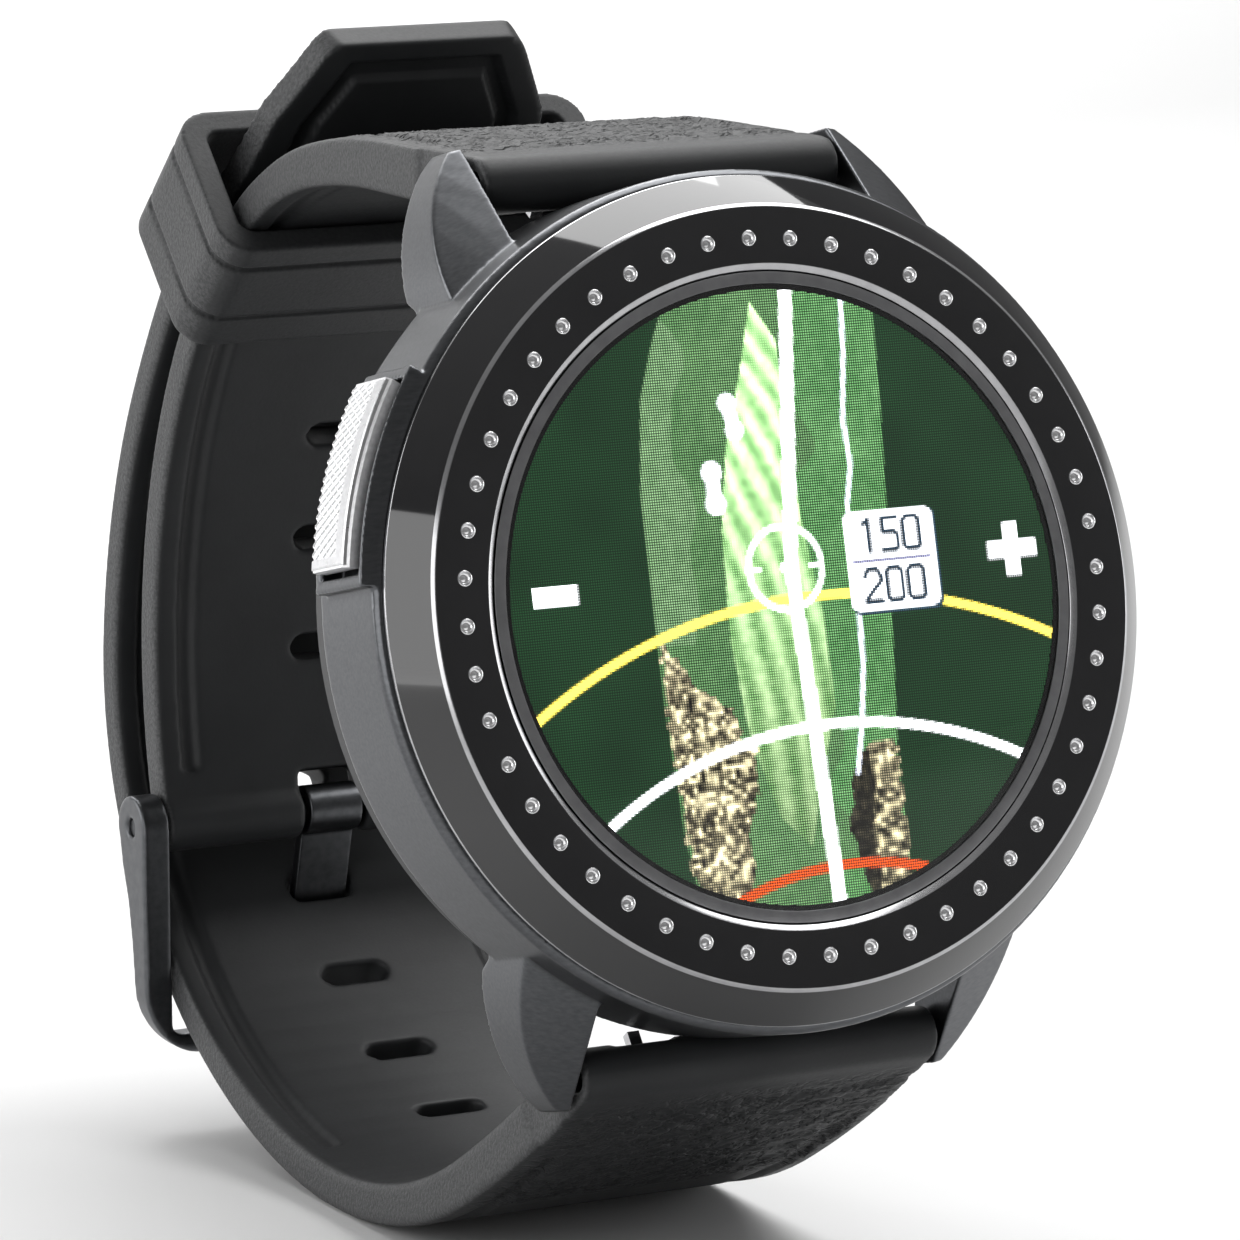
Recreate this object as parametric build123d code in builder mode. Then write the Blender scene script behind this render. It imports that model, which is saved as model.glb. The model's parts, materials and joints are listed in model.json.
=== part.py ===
from build123d import *
import math
import os

os.makedirs("parts", exist_ok=True)

# Golf GPS wrist watch standing on the lower half of its closed strap.
# +Z is up, +X points to 3 o'clock, the dial faces -Y and leans back.
# All values are millimetres and degrees.

# ---------------------------------------------------------------- stance
lean = 13.86            # dial leans back from upright
dial_x = 0.554          # centre of the flat dial ring above the table
dial_y = -29.825
dial_z = 39.749

# ---------------------------------------------------------------- case
bezel_r = 22.5          # widest radius of the bezel flank
bezel_top_r = 20.47     # outer radius of the flat glossy ring
bezel_in_r = 17.2       # bezel wall around the lens
bezel_h = 2.0           # depth of the flank foot below the flat ring
bezel_foot = 3.2        # depth of the bezel spigot
spigot_r = 21.6
dimple_r = 0.42
dimple_pcd_r = 18.9
dimple_count = 48
case_r = 22.9
case_top = 2.35
case_bottom = 9.6
cavity_r = 20.2
back_r = 22.3
back_bottom = 12.6
lug_gap = 22.2
lug_out = 15.15         # half width over the lug flanks
lug_round = 12.0        # plan radius of the lug flank
lug_tip_r = 28.05
bar_depth = 9.9         # spring bar axis below the flat ring
bar_up = 23.6           # upper bar axis from the dial centre
bar_down = 23.9         # lower bar axis from the dial centre
scoop_r = 1.95          # hollow in the case behind each strap end
back_screw_r = 21.25
contact_y = 9.5
contact_pitch = 3.2
cell_at = (1.2, -4.6)     # battery centre
cell_x = 21.0
cell_y = 16.6
patch_y = 11.4
patch_w = 11.0
motor_at = (12.2, 8.8)
motor_r = 3.9

# ---------------------------------------------------------------- button
push_angle = 68.9       # from 12 o'clock towards 9 o'clock
push_span = 24.4        # angle covered by the pad
push_r = 24.3           # outer radius of the pad
pad_in = 23.4
push_depth = 5.8        # stem axis below the flat ring
pad_depth = 5.1         # pad centre below the flat ring
pad_w = 4.1
pad_gap = 0.25          # pad to pocket
surround_top = 2.45
surround_r = 23.65
well_r = 1.55           # seat of the return spring
stem_r = 0.8
stem_end = 17.55
stem_bore = 0.85

# ---------------------------------------------------------------- strap
strap_w = 22.0
strap_gap_w = 21.6      # strap width between the lugs
barrel_r = 1.6
loop_r = 34.7           # arc carrying the keeper
short_start = 0.4       # heading of the short strap at its bar
long_start = 38.35
slot_len = 4.2
slot_w = 1.5
slot_pitch = 7.0
short_first = 47.7       # first of three slots, from the upper bar
long_first = 40.2        # first of the long strap's row, from the lower bar
long_count = 9
tang_slot = 3            # place in the row of the slot worn open by the tang
notch_w = 4.2
tang_slot_w = 1.75
tang_t = 0.8
tang_elbow = (2.1, -8.2)   # from the buckle bar axis
tang_tip = (-0.2, -13.72)
cross_at = (-1.4, -12.95)  # buckle crossbar from the bar axis
cross_r = 0.75
tang_w = 3.4
tip_from = 116.0         # tail distance of the corner-cut frame
groove_in = 8.5
groove_out = 9.6
groove_deep = 0.35
pin_r = 0.75            # buckle bar
tip_r = 0.42            # spring bar tips, in the blind lug holes
rod_r = 0.45            # inner rod of the quick release
buckle_eye_r = 1.65     # strap end round the buckle bar
ear_r = 1.9             # buckle ear
keeper_len = 9.2
keeper_in_low = 33.0    # keeper opening, radii about the keeper arc centre
keeper_in_high = 40.15
keeper_wall = 1.5
keeper_half = 12.95
keeper_bore = 11.4
keeper_turn = 1.4       # keeper rest position past the start of its arc
buckle_in = 11.2
buckle_out = 12.9

ca = math.cos(math.radians(lean))
sa = math.sin(math.radians(lean))
centre = Vector(dial_x, dial_y, dial_z)

# dial: local x to 3 o'clock, local y to 12 o'clock, local z out of the glass
dial = Plane(origin=centre, x_dir=(1, 0, 0), z_dir=(0, -ca, sa))
# section: local x is the radius towards 3 o'clock, local y out of the glass
section = Plane(origin=centre, x_dir=(1, 0, 0), z_dir=(0, -sa, -ca))
dial_axis = Axis(centre, dial.z_dir)
# side: local x is world Y and local y is world Z, both from the dial centre
side = Plane(origin=centre, x_dir=(0, 1, 0), z_dir=(1, 0, 0))


def at_depth(depth):
    """Plane parallel to the dial, the given depth inside the case."""
    return dial.offset(-depth)


def wedge(span):
    """Corners of a triangle-like sector centred on the push angle."""
    reach = 40.0
    turns = [push_angle - span / 2, push_angle, push_angle + span / 2]
    rim = [(-reach * math.sin(math.radians(t)), reach * math.cos(math.radians(t))) for t in turns]
    return [(0.0, 0.0)] + rim


def side_point(depth, up):
    """Dial-frame depth and height turned into side-plane coordinates."""
    return (depth * ca + up * sa, -depth * sa + up * ca)


def bend_path(start, heading, bends, step):
    """Centre line of a strap: list of (point, heading, distance).

    Heading 0 runs along +Y, 90 runs down.  Each bend is (length, radius);
    radius 0 is straight, a positive radius curls downwards.
    """
    x, y = start
    total = 0.0
    line = [((x, y), heading, total)]
    for length, radius in bends:
        count = max(2, round(length / step))
        ds = length / count
        turn = 0.0 if radius == 0 else math.degrees(ds / radius)
        for _ in range(count):
            mid = math.radians(heading + turn / 2)
            x += ds * math.cos(mid)
            y -= ds * math.sin(mid)
            heading += turn
            total += ds
            line.append(((x, y), heading, total))
    return line


def taper(distance, stages):
    """Piecewise linear thickness along the strap."""
    for (d0, t0), (d1, t1) in zip(stages, stages[1:]):
        if distance <= d1:
            return t0 + (t1 - t0) * (distance - d0) / (d1 - d0)
    return stages[-1][1]


def shifted(line, stages, share):
    """Points beside the centre line; share +0.5 is the upper/left skin."""
    out = []
    for (x, y), heading, distance in line:
        h = math.radians(heading)
        t = taper(distance, stages) * share
        out.append((x + t * math.sin(h), y + t * math.cos(h)))
    return out


def strap_frame(line, distance):
    """Plane on the centre line: local x is world X, local z leaves the skin."""
    (y0, z0), heading, _ = min(line, key=lambda p: abs(p[2] - distance))
    h = math.radians(heading)
    origin = centre + Vector(0, y0, z0)
    return Plane(origin=origin, x_dir=(1, 0, 0), z_dir=(0, math.sin(h), math.cos(h)))


push_dir = -math.sin(math.radians(push_angle)) * dial.x_dir
push_dir = push_dir + math.cos(math.radians(push_angle)) * dial.y_dir
# stem plane: normal points outwards along the push stem
stem_plane = Plane(origin=centre - push_depth * dial.z_dir, x_dir=dial.z_dir, z_dir=push_dir)

upper_bar = side_point(bar_depth, bar_up)
lower_bar = side_point(bar_depth, -bar_down)

short_bends = [(11.5, 0), (8.5, 45.0), (13.0, 23.5), (38.8, loop_r)]
long_bends = [(16.0, -101.0), (16.5, -32.0), (18.5, -35.5), (14.0, -28.0)]
long_bends += [(13.0, -20.5), (16.0, -37.0), (15.0, -70.0), (12.5, 46.0)]
short_stages = [(0, 3.2), (12, 2.9), (26, 2.3), (90, 2.3)]
long_stages = [(0, 3.0), (12, 2.8), (30, 2.4), (60, 2.2), (125, 2.0)]
short_line = bend_path(upper_bar, short_start, short_bends, 1.0)
long_line = bend_path(lower_bar, long_start, long_bends, 1.0)
buckle_pin = short_line[-1][0]
keeper_start = [p for p in short_line if abs(p[2] - 33.0) < 0.01][0]
kh = math.radians(keeper_start[1])
arc_centre = (
    keeper_start[0][0] - loop_r * math.sin(kh),
    keeper_start[0][1] - loop_r * math.cos(kh),
)

elbow_len = math.hypot(*tang_elbow)
tang_dir = (tang_elbow[0] / elbow_len, tang_elbow[1] / elbow_len)
# across the tang where it leaves its barrel: local x is world X
tang_run = Plane(
    origin=centre + Vector(0, buckle_pin[0] + 3 * tang_dir[0], buckle_pin[1] + 3 * tang_dir[1]),
    x_dir=(1, 0, 0),
    z_dir=(0, tang_dir[0], tang_dir[1]),
)

# ================================================================ bezel
with BuildPart() as bezel:
    with BuildSketch(section) as bezel_profile:
        with BuildLine():
            Polyline(
                (bezel_in_r, -1.8),
                (bezel_in_r, -0.35),
                (17.52, 0),
                (bezel_top_r, 0),
                (bezel_top_r + 0.25, -0.16),
                (bezel_r, -bezel_h),
                (bezel_r, -bezel_h - 0.25),
                (spigot_r, -bezel_h - 0.25),
                (spigot_r, -bezel_foot),
                (16.75, -bezel_foot),
                (16.75, -1.8),
                close=True,
            )
        make_face()
    revolve(axis=dial_axis)
    with BuildSketch(dial) as dimple_holes:
        with PolarLocations(dimple_pcd_r, dimple_count, start_angle=90):
            Circle(dimple_r)
    extrude(amount=-0.5, mode=Mode.SUBTRACT)
bezel.part.label = "bezel"
export_step(bezel.part, "parts/bezel.step")

with BuildPart() as bezel_pips:
    with BuildSketch(at_depth(0.5)) as pip_base:
        with PolarLocations(dimple_pcd_r, dimple_count, start_angle=90):
            Circle(dimple_r - 0.01)
    extrude(amount=0.47)
    with BuildSketch(dial) as pip_cup:
        with PolarLocations(dimple_pcd_r, dimple_count, start_angle=90):
            Circle(dimple_r * 0.62)
    extrude(amount=-0.18, taper=30, mode=Mode.SUBTRACT)
bezel_pips.part.label = "bezel_pips"
export_step(bezel_pips.part, "parts/bezel_pips.step")

# ================================================================ display
with BuildPart() as lens:
    with BuildSketch(at_depth(1.6)) as lens_disc:
        Circle(17.05)
    extrude(amount=1.2)
    chamfer(lens.faces().sort_by(dial_axis)[-1].edges(), 0.15)
lens.part.label = "lens"
export_step(lens.part, "parts/lens.step")

with BuildPart() as lens_gasket:
    with BuildSketch(at_depth(1.8)) as lens_gasket_ring:
        Circle(17.05)
        Circle(16.8, mode=Mode.SUBTRACT)
    extrude(amount=0.2)
lens_gasket.part.label = "lens_gasket"
export_step(lens_gasket.part, "parts/lens_gasket.step")

with BuildPart() as display_panel:
    with BuildSketch(at_depth(2.9)) as panel_disc:
        Circle(16.6)
    extrude(amount=1.3)
display_panel.part.label = "display_panel"
export_step(display_panel.part, "parts/display_panel.step")

with BuildPart() as display_frame:
    with BuildSketch(at_depth(3.9)) as frame_disc:
        Circle(18.2)
    extrude(amount=0.65)
    with BuildSketch(at_depth(3.25)) as frame_step:
        Circle(16.6)
    extrude(amount=0.35)
    with BuildSketch(at_depth(3.9)) as flex_window:
        with Locations((0, -18.0)):
            Rectangle(8.6, 4.0)
    extrude(amount=1.0, mode=Mode.SUBTRACT)
display_frame.part.label = "display_frame"
export_step(display_frame.part, "parts/display_frame.step")

# ribbon from the panel edge down to a connector on the main board
with BuildPart() as display_flex:
    with BuildSketch(Plane(origin=centre, x_dir=(0, -ca, sa), z_dir=(1, 0, 0))) as flex_run:
        with BuildLine():
            Polyline(
                (-2.92, 16.2),
                (-2.92, 16.45),
                (-5.0, 16.45),
                (-5.0, 13.5),
                (-4.8, 13.5),
                (-4.8, 16.2),
                close=True,
            )
        make_face()
    extrude(amount=3.5, both=True)
display_flex.part.label = "display_flex"
export_step(display_flex.part, "parts/display_flex.step")

# ================================================================ case
with BuildPart() as lugs:
    with BuildSketch(dial) as lug_plan:
        with BuildLine():
            Polyline((lug_gap / 2, 14.0), (lug_gap / 2, 25.65), (11.8, 25.55))
            RadiusArc((11.8, 25.55), (lug_out, 17.4), lug_round)
            Polyline((lug_out, 17.4), (lug_out, 14.0), (lug_gap / 2, 14.0))
        make_face()
        mirror(about=Plane.YZ)
        mirror(about=Plane.XZ)
    extrude(amount=-13.0)
    with BuildSketch(section) as lug_profile:
        with BuildLine():
            Polyline(
                (21.0, -3.25),
                (28.4, -10.43),
                (28.4, -12.3),
                (27.6, -12.5),
                (23.2, -10.6),
                (22.75, -case_bottom),
                (21.0, -case_bottom),
                close=True,
            )
        make_face()
    revolve(axis=dial_axis, mode=Mode.INTERSECT)

with BuildPart() as mid_case:
    with BuildSketch(section) as case_profile:
        with BuildLine():
            Polyline(
                (cavity_r, -case_bottom),
                (cavity_r, -3.3),
                (spigot_r + 0.05, -3.3),
                (spigot_r + 0.05, -case_top),
                (case_r - 0.3, -case_top),
                (case_r, -case_top - 0.3),
                (case_r, -8.9),
                (case_r - 0.7, -case_bottom),
                close=True,
            )
        make_face()
    revolve(axis=dial_axis)
    add(lugs.part)
    # raised surround of the push pad
    with BuildSketch(at_depth(pad_depth + 2.9)) as surround:
        Circle(surround_r)
        Circle(22.0, mode=Mode.SUBTRACT)
        with BuildLine():
            Polyline(*wedge(push_span + 5.0), close=True)
        make_face(mode=Mode.INTERSECT)
    extrude(amount=pad_depth + 2.9 - surround_top)
    # inner boss that carries the push stem
    with BuildSketch(stem_plane) as boss:
        Circle(2.0)
    extrude(amount=21.0)
    with BuildSketch(stem_plane) as boss_trim:
        Circle(3.0)
    extrude(amount=18.4, mode=Mode.SUBTRACT)
    # pocket for the pad, spring well and stem bore
    with BuildSketch(at_depth(pad_depth + pad_w / 2 + pad_gap)) as pocket:
        Circle(26.0)
        Circle(22.3, mode=Mode.SUBTRACT)
        with BuildLine():
            Polyline(*wedge(push_span + 1.6), close=True)
        make_face(mode=Mode.INTERSECT)
    extrude(amount=pad_w + 2 * pad_gap, mode=Mode.SUBTRACT)
    with BuildSketch(stem_plane.offset(21.1)) as spring_well:
        Circle(well_r)
    extrude(amount=3.0, mode=Mode.SUBTRACT)
    with BuildSketch(stem_plane.offset(17.0)) as stem_hole:
        Circle(stem_bore)
    extrude(amount=6.0, mode=Mode.SUBTRACT)
    # hollows that clear the strap barrels, and the blind spring bar holes
    with BuildSketch(side) as strap_scoops:
        with Locations(upper_bar, lower_bar):
            Circle(scoop_r)
    extrude(amount=lug_gap / 2, both=True, mode=Mode.SUBTRACT)
    with BuildSketch(side) as bar_holes:
        with Locations(upper_bar, lower_bar):
            Circle(0.45)
    extrude(amount=12.5, both=True, mode=Mode.SUBTRACT)
    # tapped holes for the back screws
    with BuildSketch(at_depth(case_bottom)) as taps:
        with PolarLocations(back_screw_r, 4, start_angle=45):
            Circle(0.55)
    extrude(amount=3.0, mode=Mode.SUBTRACT)
mid_case.part.label = "mid_case"
export_step(mid_case.part, "parts/mid_case.step")

with BuildPart() as case_back:
    with BuildSketch(section) as back_profile:
        with BuildLine():
            Polyline(
                (0, -9.62),
                (18.4, -9.62),
                (18.4, -8.7),
                (20.1, -8.7),
                (20.1, -9.1),
                (19.55, -9.1),
                (19.55, -9.5),
                (20.1, -9.5),
                (20.1, -9.62),
                (back_r, -9.62),
                (back_r, -10.8),
                (22.0, -11.1),
                (18.2, -11.1),
                (17.4, -back_bottom),
                (0, -back_bottom),
                close=True,
            )
        make_face()
    revolve(axis=dial_axis)
    with BuildSketch(side) as back_scoops:
        with Locations(upper_bar, lower_bar):
            Circle(scoop_r)
    extrude(amount=lug_gap / 2, both=True, mode=Mode.SUBTRACT)
    with BuildSketch(at_depth(back_bottom)) as screw_holes:
        with PolarLocations(back_screw_r, 4, start_angle=45):
            Circle(0.6)
    extrude(amount=4.0, mode=Mode.SUBTRACT)
    with BuildSketch(at_depth(back_bottom)) as head_wells:
        with PolarLocations(back_screw_r, 4, start_angle=45):
            Circle(0.98)
    extrude(amount=back_bottom - 10.5, mode=Mode.SUBTRACT)
    with BuildSketch(at_depth(back_bottom)) as contact_holes:
        with Locations((0, contact_y)):
            with GridLocations(contact_pitch, 1, 4, 1):
                Circle(0.9)
    extrude(amount=4.0, mode=Mode.SUBTRACT)
    with BuildSketch(at_depth(back_bottom)) as clip_slots:
        with Locations((0, contact_y)):
            with GridLocations(19.0, 1, 2, 1):
                SlotOverall(3.6, 1.4, rotation=90)
    extrude(amount=0.7, mode=Mode.SUBTRACT)
case_back.part.label = "case_back"
export_step(case_back.part, "parts/case_back.step")

with BuildPart() as back_gasket:
    with BuildSketch(at_depth(9.48)) as back_gasket_ring:
        Circle(20.17)
        Circle(19.57, mode=Mode.SUBTRACT)
    extrude(amount=0.36)
back_gasket.part.label = "back_gasket"
export_step(back_gasket.part, "parts/back_gasket.step")

with BuildPart() as back_screws:
    with BuildSketch(at_depth(11.05)) as screw_heads:
        with PolarLocations(back_screw_r, 4, start_angle=45):
            Circle(0.92)
    extrude(amount=0.55)
    with BuildSketch(at_depth(10.5)) as screw_shanks:
        with PolarLocations(back_screw_r, 4, start_angle=45):
            Circle(0.53)
    extrude(amount=3.6)
    with BuildSketch(at_depth(11.05)) as screw_slots:
        with PolarLocations(back_screw_r, 4, start_angle=45):
            Rectangle(2.4, 0.3)
    extrude(amount=0.25, mode=Mode.SUBTRACT)
back_screws.part.label = "back_screws"
export_step(back_screws.part, "parts/back_screws.step")

with BuildPart() as charge_contacts:
    with BuildSketch(at_depth(back_bottom - 0.05)) as contact_pins:
        with Locations((0, contact_y)):
            with GridLocations(contact_pitch, 1, 4, 1):
                Circle(0.88)
    extrude(amount=3.2)
charge_contacts.part.label = "charge_contacts"
export_step(charge_contacts.part, "parts/charge_contacts.step")

# ================================================================ electronics
with BuildPart() as chassis:
    with BuildSketch(at_depth(8.45)) as chassis_disc:
        Circle(20.0)
    extrude(amount=4.45)
    with BuildSketch(at_depth(4.85)) as board_seat:
        Circle(18.45)
    extrude(amount=1.0, mode=Mode.SUBTRACT)
    with BuildSketch(at_depth(8.45)) as cell_pocket:
        with Locations(cell_at):
            Rectangle(cell_x + 0.5, cell_y + 0.5)
        with Locations((0, patch_y)):
            Rectangle(patch_w + 0.4, patch_w + 0.4)
        with Locations(motor_at):
            Circle(motor_r + 0.2)
    extrude(amount=4.0, mode=Mode.SUBTRACT)
    with BuildSketch(at_depth(5.3)) as flex_notch:
        with Locations((0, -15.2)):
            Rectangle(8.2, 4.6)
    extrude(amount=2.0, mode=Mode.SUBTRACT)
    with BuildSketch(at_depth(8.0)) as push_notch:
        with Locations(Location((0, 0, 0), (0, 0, push_angle + 90))):
            with Locations((17.53, 0)):
                Rectangle(9.0, 5.2)
    extrude(amount=4.2, mode=Mode.SUBTRACT)
chassis.part.label = "chassis"
export_step(chassis.part, "parts/chassis.step")

with BuildPart() as main_board:
    with BuildSketch(at_depth(4.75)) as board_disc:
        Circle(18.2)
        with Locations((0, -17.6)):
            Rectangle(8.4, 3.4, mode=Mode.SUBTRACT)
    extrude(amount=0.7)
main_board.part.label = "main_board"
export_step(main_board.part, "parts/main_board.step")

with BuildPart() as board_parts:
    with BuildSketch(at_depth(5.4)) as chips:
        with Locations((-5.0, -2.0)):
            Rectangle(6.0, 6.0)
        with Locations((3.0, -3.0)):
            Rectangle(5.0, 4.0)
        with Locations((3.0, -9.0)):
            Rectangle(7.0, 3.0)
        with Locations((-6.0, -9.5)):
            Rectangle(3.2, 2.5)
    extrude(amount=0.62)
board_parts.part.label = "board_parts"
export_step(board_parts.part, "parts/board_parts.step")

with BuildPart() as gps_patch:
    with BuildSketch(at_depth(8.0)) as patch_block:
        with Locations((0, patch_y)):
            Rectangle(patch_w, patch_w)
    extrude(amount=3.2)
    with BuildSketch(at_depth(8.05)) as patch_metal:
        with Locations((0, patch_y)):
            Rectangle(patch_w - 2.4, patch_w - 2.4)
    extrude(amount=0.1)
gps_patch.part.label = "gps_patch"
export_step(gps_patch.part, "parts/gps_patch.step")

with BuildPart() as cell:
    with BuildSketch(at_depth(8.4)) as cell_block:
        with Locations(cell_at):
            RectangleRounded(cell_x, cell_y, 0.8)
    extrude(amount=2.85)
cell.part.label = "battery"
export_step(cell.part, "parts/battery.step")

with BuildPart() as motor:
    with BuildSketch(at_depth(8.2)) as motor_can:
        with Locations(motor_at):
            Circle(motor_r)
    extrude(amount=3.3)
motor.part.label = "vibration_motor"
export_step(motor.part, "parts/vibration_motor.step")

with BuildPart() as push_switch:
    with BuildSketch(stem_plane.offset(13.6)) as switch_body:
        Rectangle(2.0, 4.2)
    extrude(amount=2.4)
    with BuildSketch(stem_plane.offset(15.9)) as switch_tip:
        Circle(0.55)
    extrude(amount=0.75)
push_switch.part.label = "push_switch"
export_step(push_switch.part, "parts/push_switch.step")

# ================================================================ push button
with BuildPart() as side_button:
    with BuildSketch(at_depth(pad_depth + pad_w / 2)) as pad:
        Circle(push_r)
        Circle(pad_in, mode=Mode.SUBTRACT)
        with BuildLine():
            Polyline(*wedge(push_span), close=True)
        make_face(mode=Mode.INTERSECT)
    extrude(amount=pad_w)
    chamfer(side_button.edges().group_by(SortBy.LENGTH)[-1], 0.3)
    with BuildSketch(stem_plane.offset(stem_end)) as stem:
        Circle(stem_r)
    extrude(amount=pad_in - stem_end + 0.4)
    with BuildSketch(stem_plane.offset(18.0)) as clip_groove:
        Circle(2.0)
        Circle(0.6, mode=Mode.SUBTRACT)
    extrude(amount=0.34, mode=Mode.SUBTRACT)
    with BuildSketch(stem_plane.offset(20.0)) as seal_groove:
        Circle(2.0)
        Circle(0.6, mode=Mode.SUBTRACT)
    extrude(amount=0.6, mode=Mode.SUBTRACT)
side_button.part.label = "side_button"
export_step(side_button.part, "parts/side_button.step")

with BuildPart() as button_clip:
    with BuildSketch(stem_plane.offset(18.01)) as clip_ring:
        Circle(1.0)
        Circle(0.61, mode=Mode.SUBTRACT)
        with Locations((0.8, 0)):
            Rectangle(1.0, 0.8, mode=Mode.SUBTRACT)
    extrude(amount=0.32)
button_clip.part.label = "button_clip"
export_step(button_clip.part, "parts/button_clip.step")

with BuildPart() as button_seal:
    with BuildSketch(stem_plane.offset(20.02)) as seal_ring:
        Circle(0.83)
        Circle(0.61, mode=Mode.SUBTRACT)
    extrude(amount=0.56)
button_seal.part.label = "button_seal"
export_step(button_seal.part, "parts/button_seal.step")

# compression spring between the well floor and the pad
coil = stem_plane.offset(21.28).location * Helix(pitch=0.62, height=1.9, radius=1.15)
with BuildPart() as button_spring:
    with BuildSketch(Plane(origin=coil @ 0, z_dir=coil % 0)) as wire:
        Circle(0.14)
    sweep(path=coil, is_frenet=True)
button_spring.part.label = "button_spring"
export_step(button_spring.part, "parts/button_spring.step")

# ================================================================ spring bars
bars = [upper_bar, lower_bar]
lever_turns = (-62, 52)   # both levers point at the wrist side of their strap
lever_len = 2.1
with BuildPart() as lug_bars:
    with BuildSketch(side.offset(-9.6)) as tubes:
        with Locations(bars):
            Circle(0.75)
    extrude(amount=19.8)
    with BuildSketch(side.offset(-10.0)) as tube_bore:
        with Locations(bars):
            Circle(0.5)
    extrude(amount=14.0, mode=Mode.SUBTRACT)
    with BuildSketch(side.offset(10.0)) as fixed_tips:
        with Locations(bars):
            Circle(tip_r)
    extrude(amount=2.3)
    with BuildSketch(side.offset(-7.6)) as lever_slots:
        for bar, turn in zip(bars, lever_turns):
            with Locations(Location((bar[0], bar[1], 0), (0, 0, turn))):
                with Locations((1.0, 0)):
                    Rectangle(2.0, 0.9)
    extrude(amount=2.9, mode=Mode.SUBTRACT)
lug_bars.part.label = "lug_bars"
export_step(lug_bars.part, "parts/lug_bars.step")

# sliding half of each quick-release bar: tip, inner rod and thumb lever
for label, bar, turn in zip(("upper_release", "lower_release"), bars, lever_turns):
    with BuildPart() as release:
        with BuildSketch(side.offset(-12.3)) as tip:
            with Locations(bar):
                Circle(tip_r)
        extrude(amount=2.4)
        with BuildSketch(side.offset(-9.95)) as rod:
            with Locations(bar):
                Circle(rod_r)
        extrude(amount=5.4)
        with BuildSketch(side.offset(-7.0)) as lever:
            with Locations(Location((bar[0], bar[1], 0), (0, 0, turn))):
                with Locations((lever_len / 2, 0)):
                    Rectangle(lever_len, 0.6)
        extrude(amount=0.7)
    release.part.label = label
    export_step(release.part, f"parts/{label}.step")

# ================================================================ straps
with BuildPart() as short_strap:
    with BuildSketch(side) as short_side:
        with BuildLine():
            top = Spline(*shifted(short_line, short_stages, 0.5))
            low = Spline(*shifted(short_line, short_stages, -0.5))
            Line(top @ 0, low @ 0)
            Line(top @ 1, low @ 1)
        make_face()
        with Locations(upper_bar):
            Circle(barrel_r)
        with Locations(buckle_pin):
            Circle(buckle_eye_r)
    extrude(amount=strap_w / 2, both=True)
    fillet(
        [
            e
            for e in short_strap.edges()
            if e.length > 50 and abs(abs(e.center().X - dial_x) - strap_w / 2) < 0.1
        ],
        0.35,
    )
    # narrow ends beside the lugs
    with BuildSketch(side) as lug_relief:
        with Locations(upper_bar):
            Circle(6.2)
    extrude(amount=strap_w / 2 + 1, both=True, mode=Mode.SUBTRACT)
    with BuildSketch(side) as short_root:
        with BuildLine():
            root = [p for p in short_line if p[2] <= 7.01]
            r_top = Spline(*shifted(root, short_stages, 0.5))
            r_low = Spline(*shifted(root, short_stages, -0.5))
            Line(r_top @ 0, r_low @ 0)
            Line(r_top @ 1, r_low @ 1)
        make_face()
        with Locations(upper_bar):
            Circle(barrel_r)
    extrude(amount=strap_gap_w / 2, both=True)
    # bar bores
    with BuildSketch(side) as short_bores:
        with Locations(upper_bar):
            Circle(0.78)
        with Locations(buckle_pin):
            Circle(pin_r + 0.03)
    extrude(amount=strap_w, both=True, mode=Mode.SUBTRACT)
    # adjustment slots
    for i in range(3):
        place = strap_frame(short_line, short_first + i * slot_pitch)
        with BuildSketch(place.offset(-3)) as slot:
            SlotOverall(slot_len, slot_w)
        extrude(amount=6, mode=Mode.SUBTRACT)
    # notch for the tang barrel
    with BuildSketch(side.offset(-notch_w / 2)) as notch:
        with Locations(buckle_pin):
            Circle(2.5)
    extrude(amount=notch_w, mode=Mode.SUBTRACT)
    # lever window of the quick-release bar
    with BuildSketch(side.offset(-8.3)) as lever_window:
        with Locations(Location((upper_bar[0], upper_bar[1], 0), (0, 0, lever_turns[0]))):
            with Locations((1.6, 0)):
                Rectangle(3.2, 1.7)
    extrude(amount=3.6, mode=Mode.SUBTRACT)
    # shallow grooves along both edges of the wrist face
    with BuildSketch(side) as short_groove:
        with BuildLine():
            run = [p for p in short_line if 9.0 <= p[2] <= 69.6]
            deep = [(d, t - 2 * groove_deep) for d, t in short_stages]
            g_in = Spline(*shifted(run, deep, -0.5))
            g_out = Spline(*shifted(run, short_stages, -0.62))
            Line(g_in @ 0, g_out @ 0)
            Line(g_in @ 1, g_out @ 1)
        make_face()
    for x0 in (groove_in, -groove_out):
        extrude(short_groove.sketch.moved(Location((x0, 0, 0))),
                amount=groove_out - groove_in, mode=Mode.SUBTRACT)
short_strap.part.label = "short_strap"
export_step(short_strap.part, "parts/short_strap.step")

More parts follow.
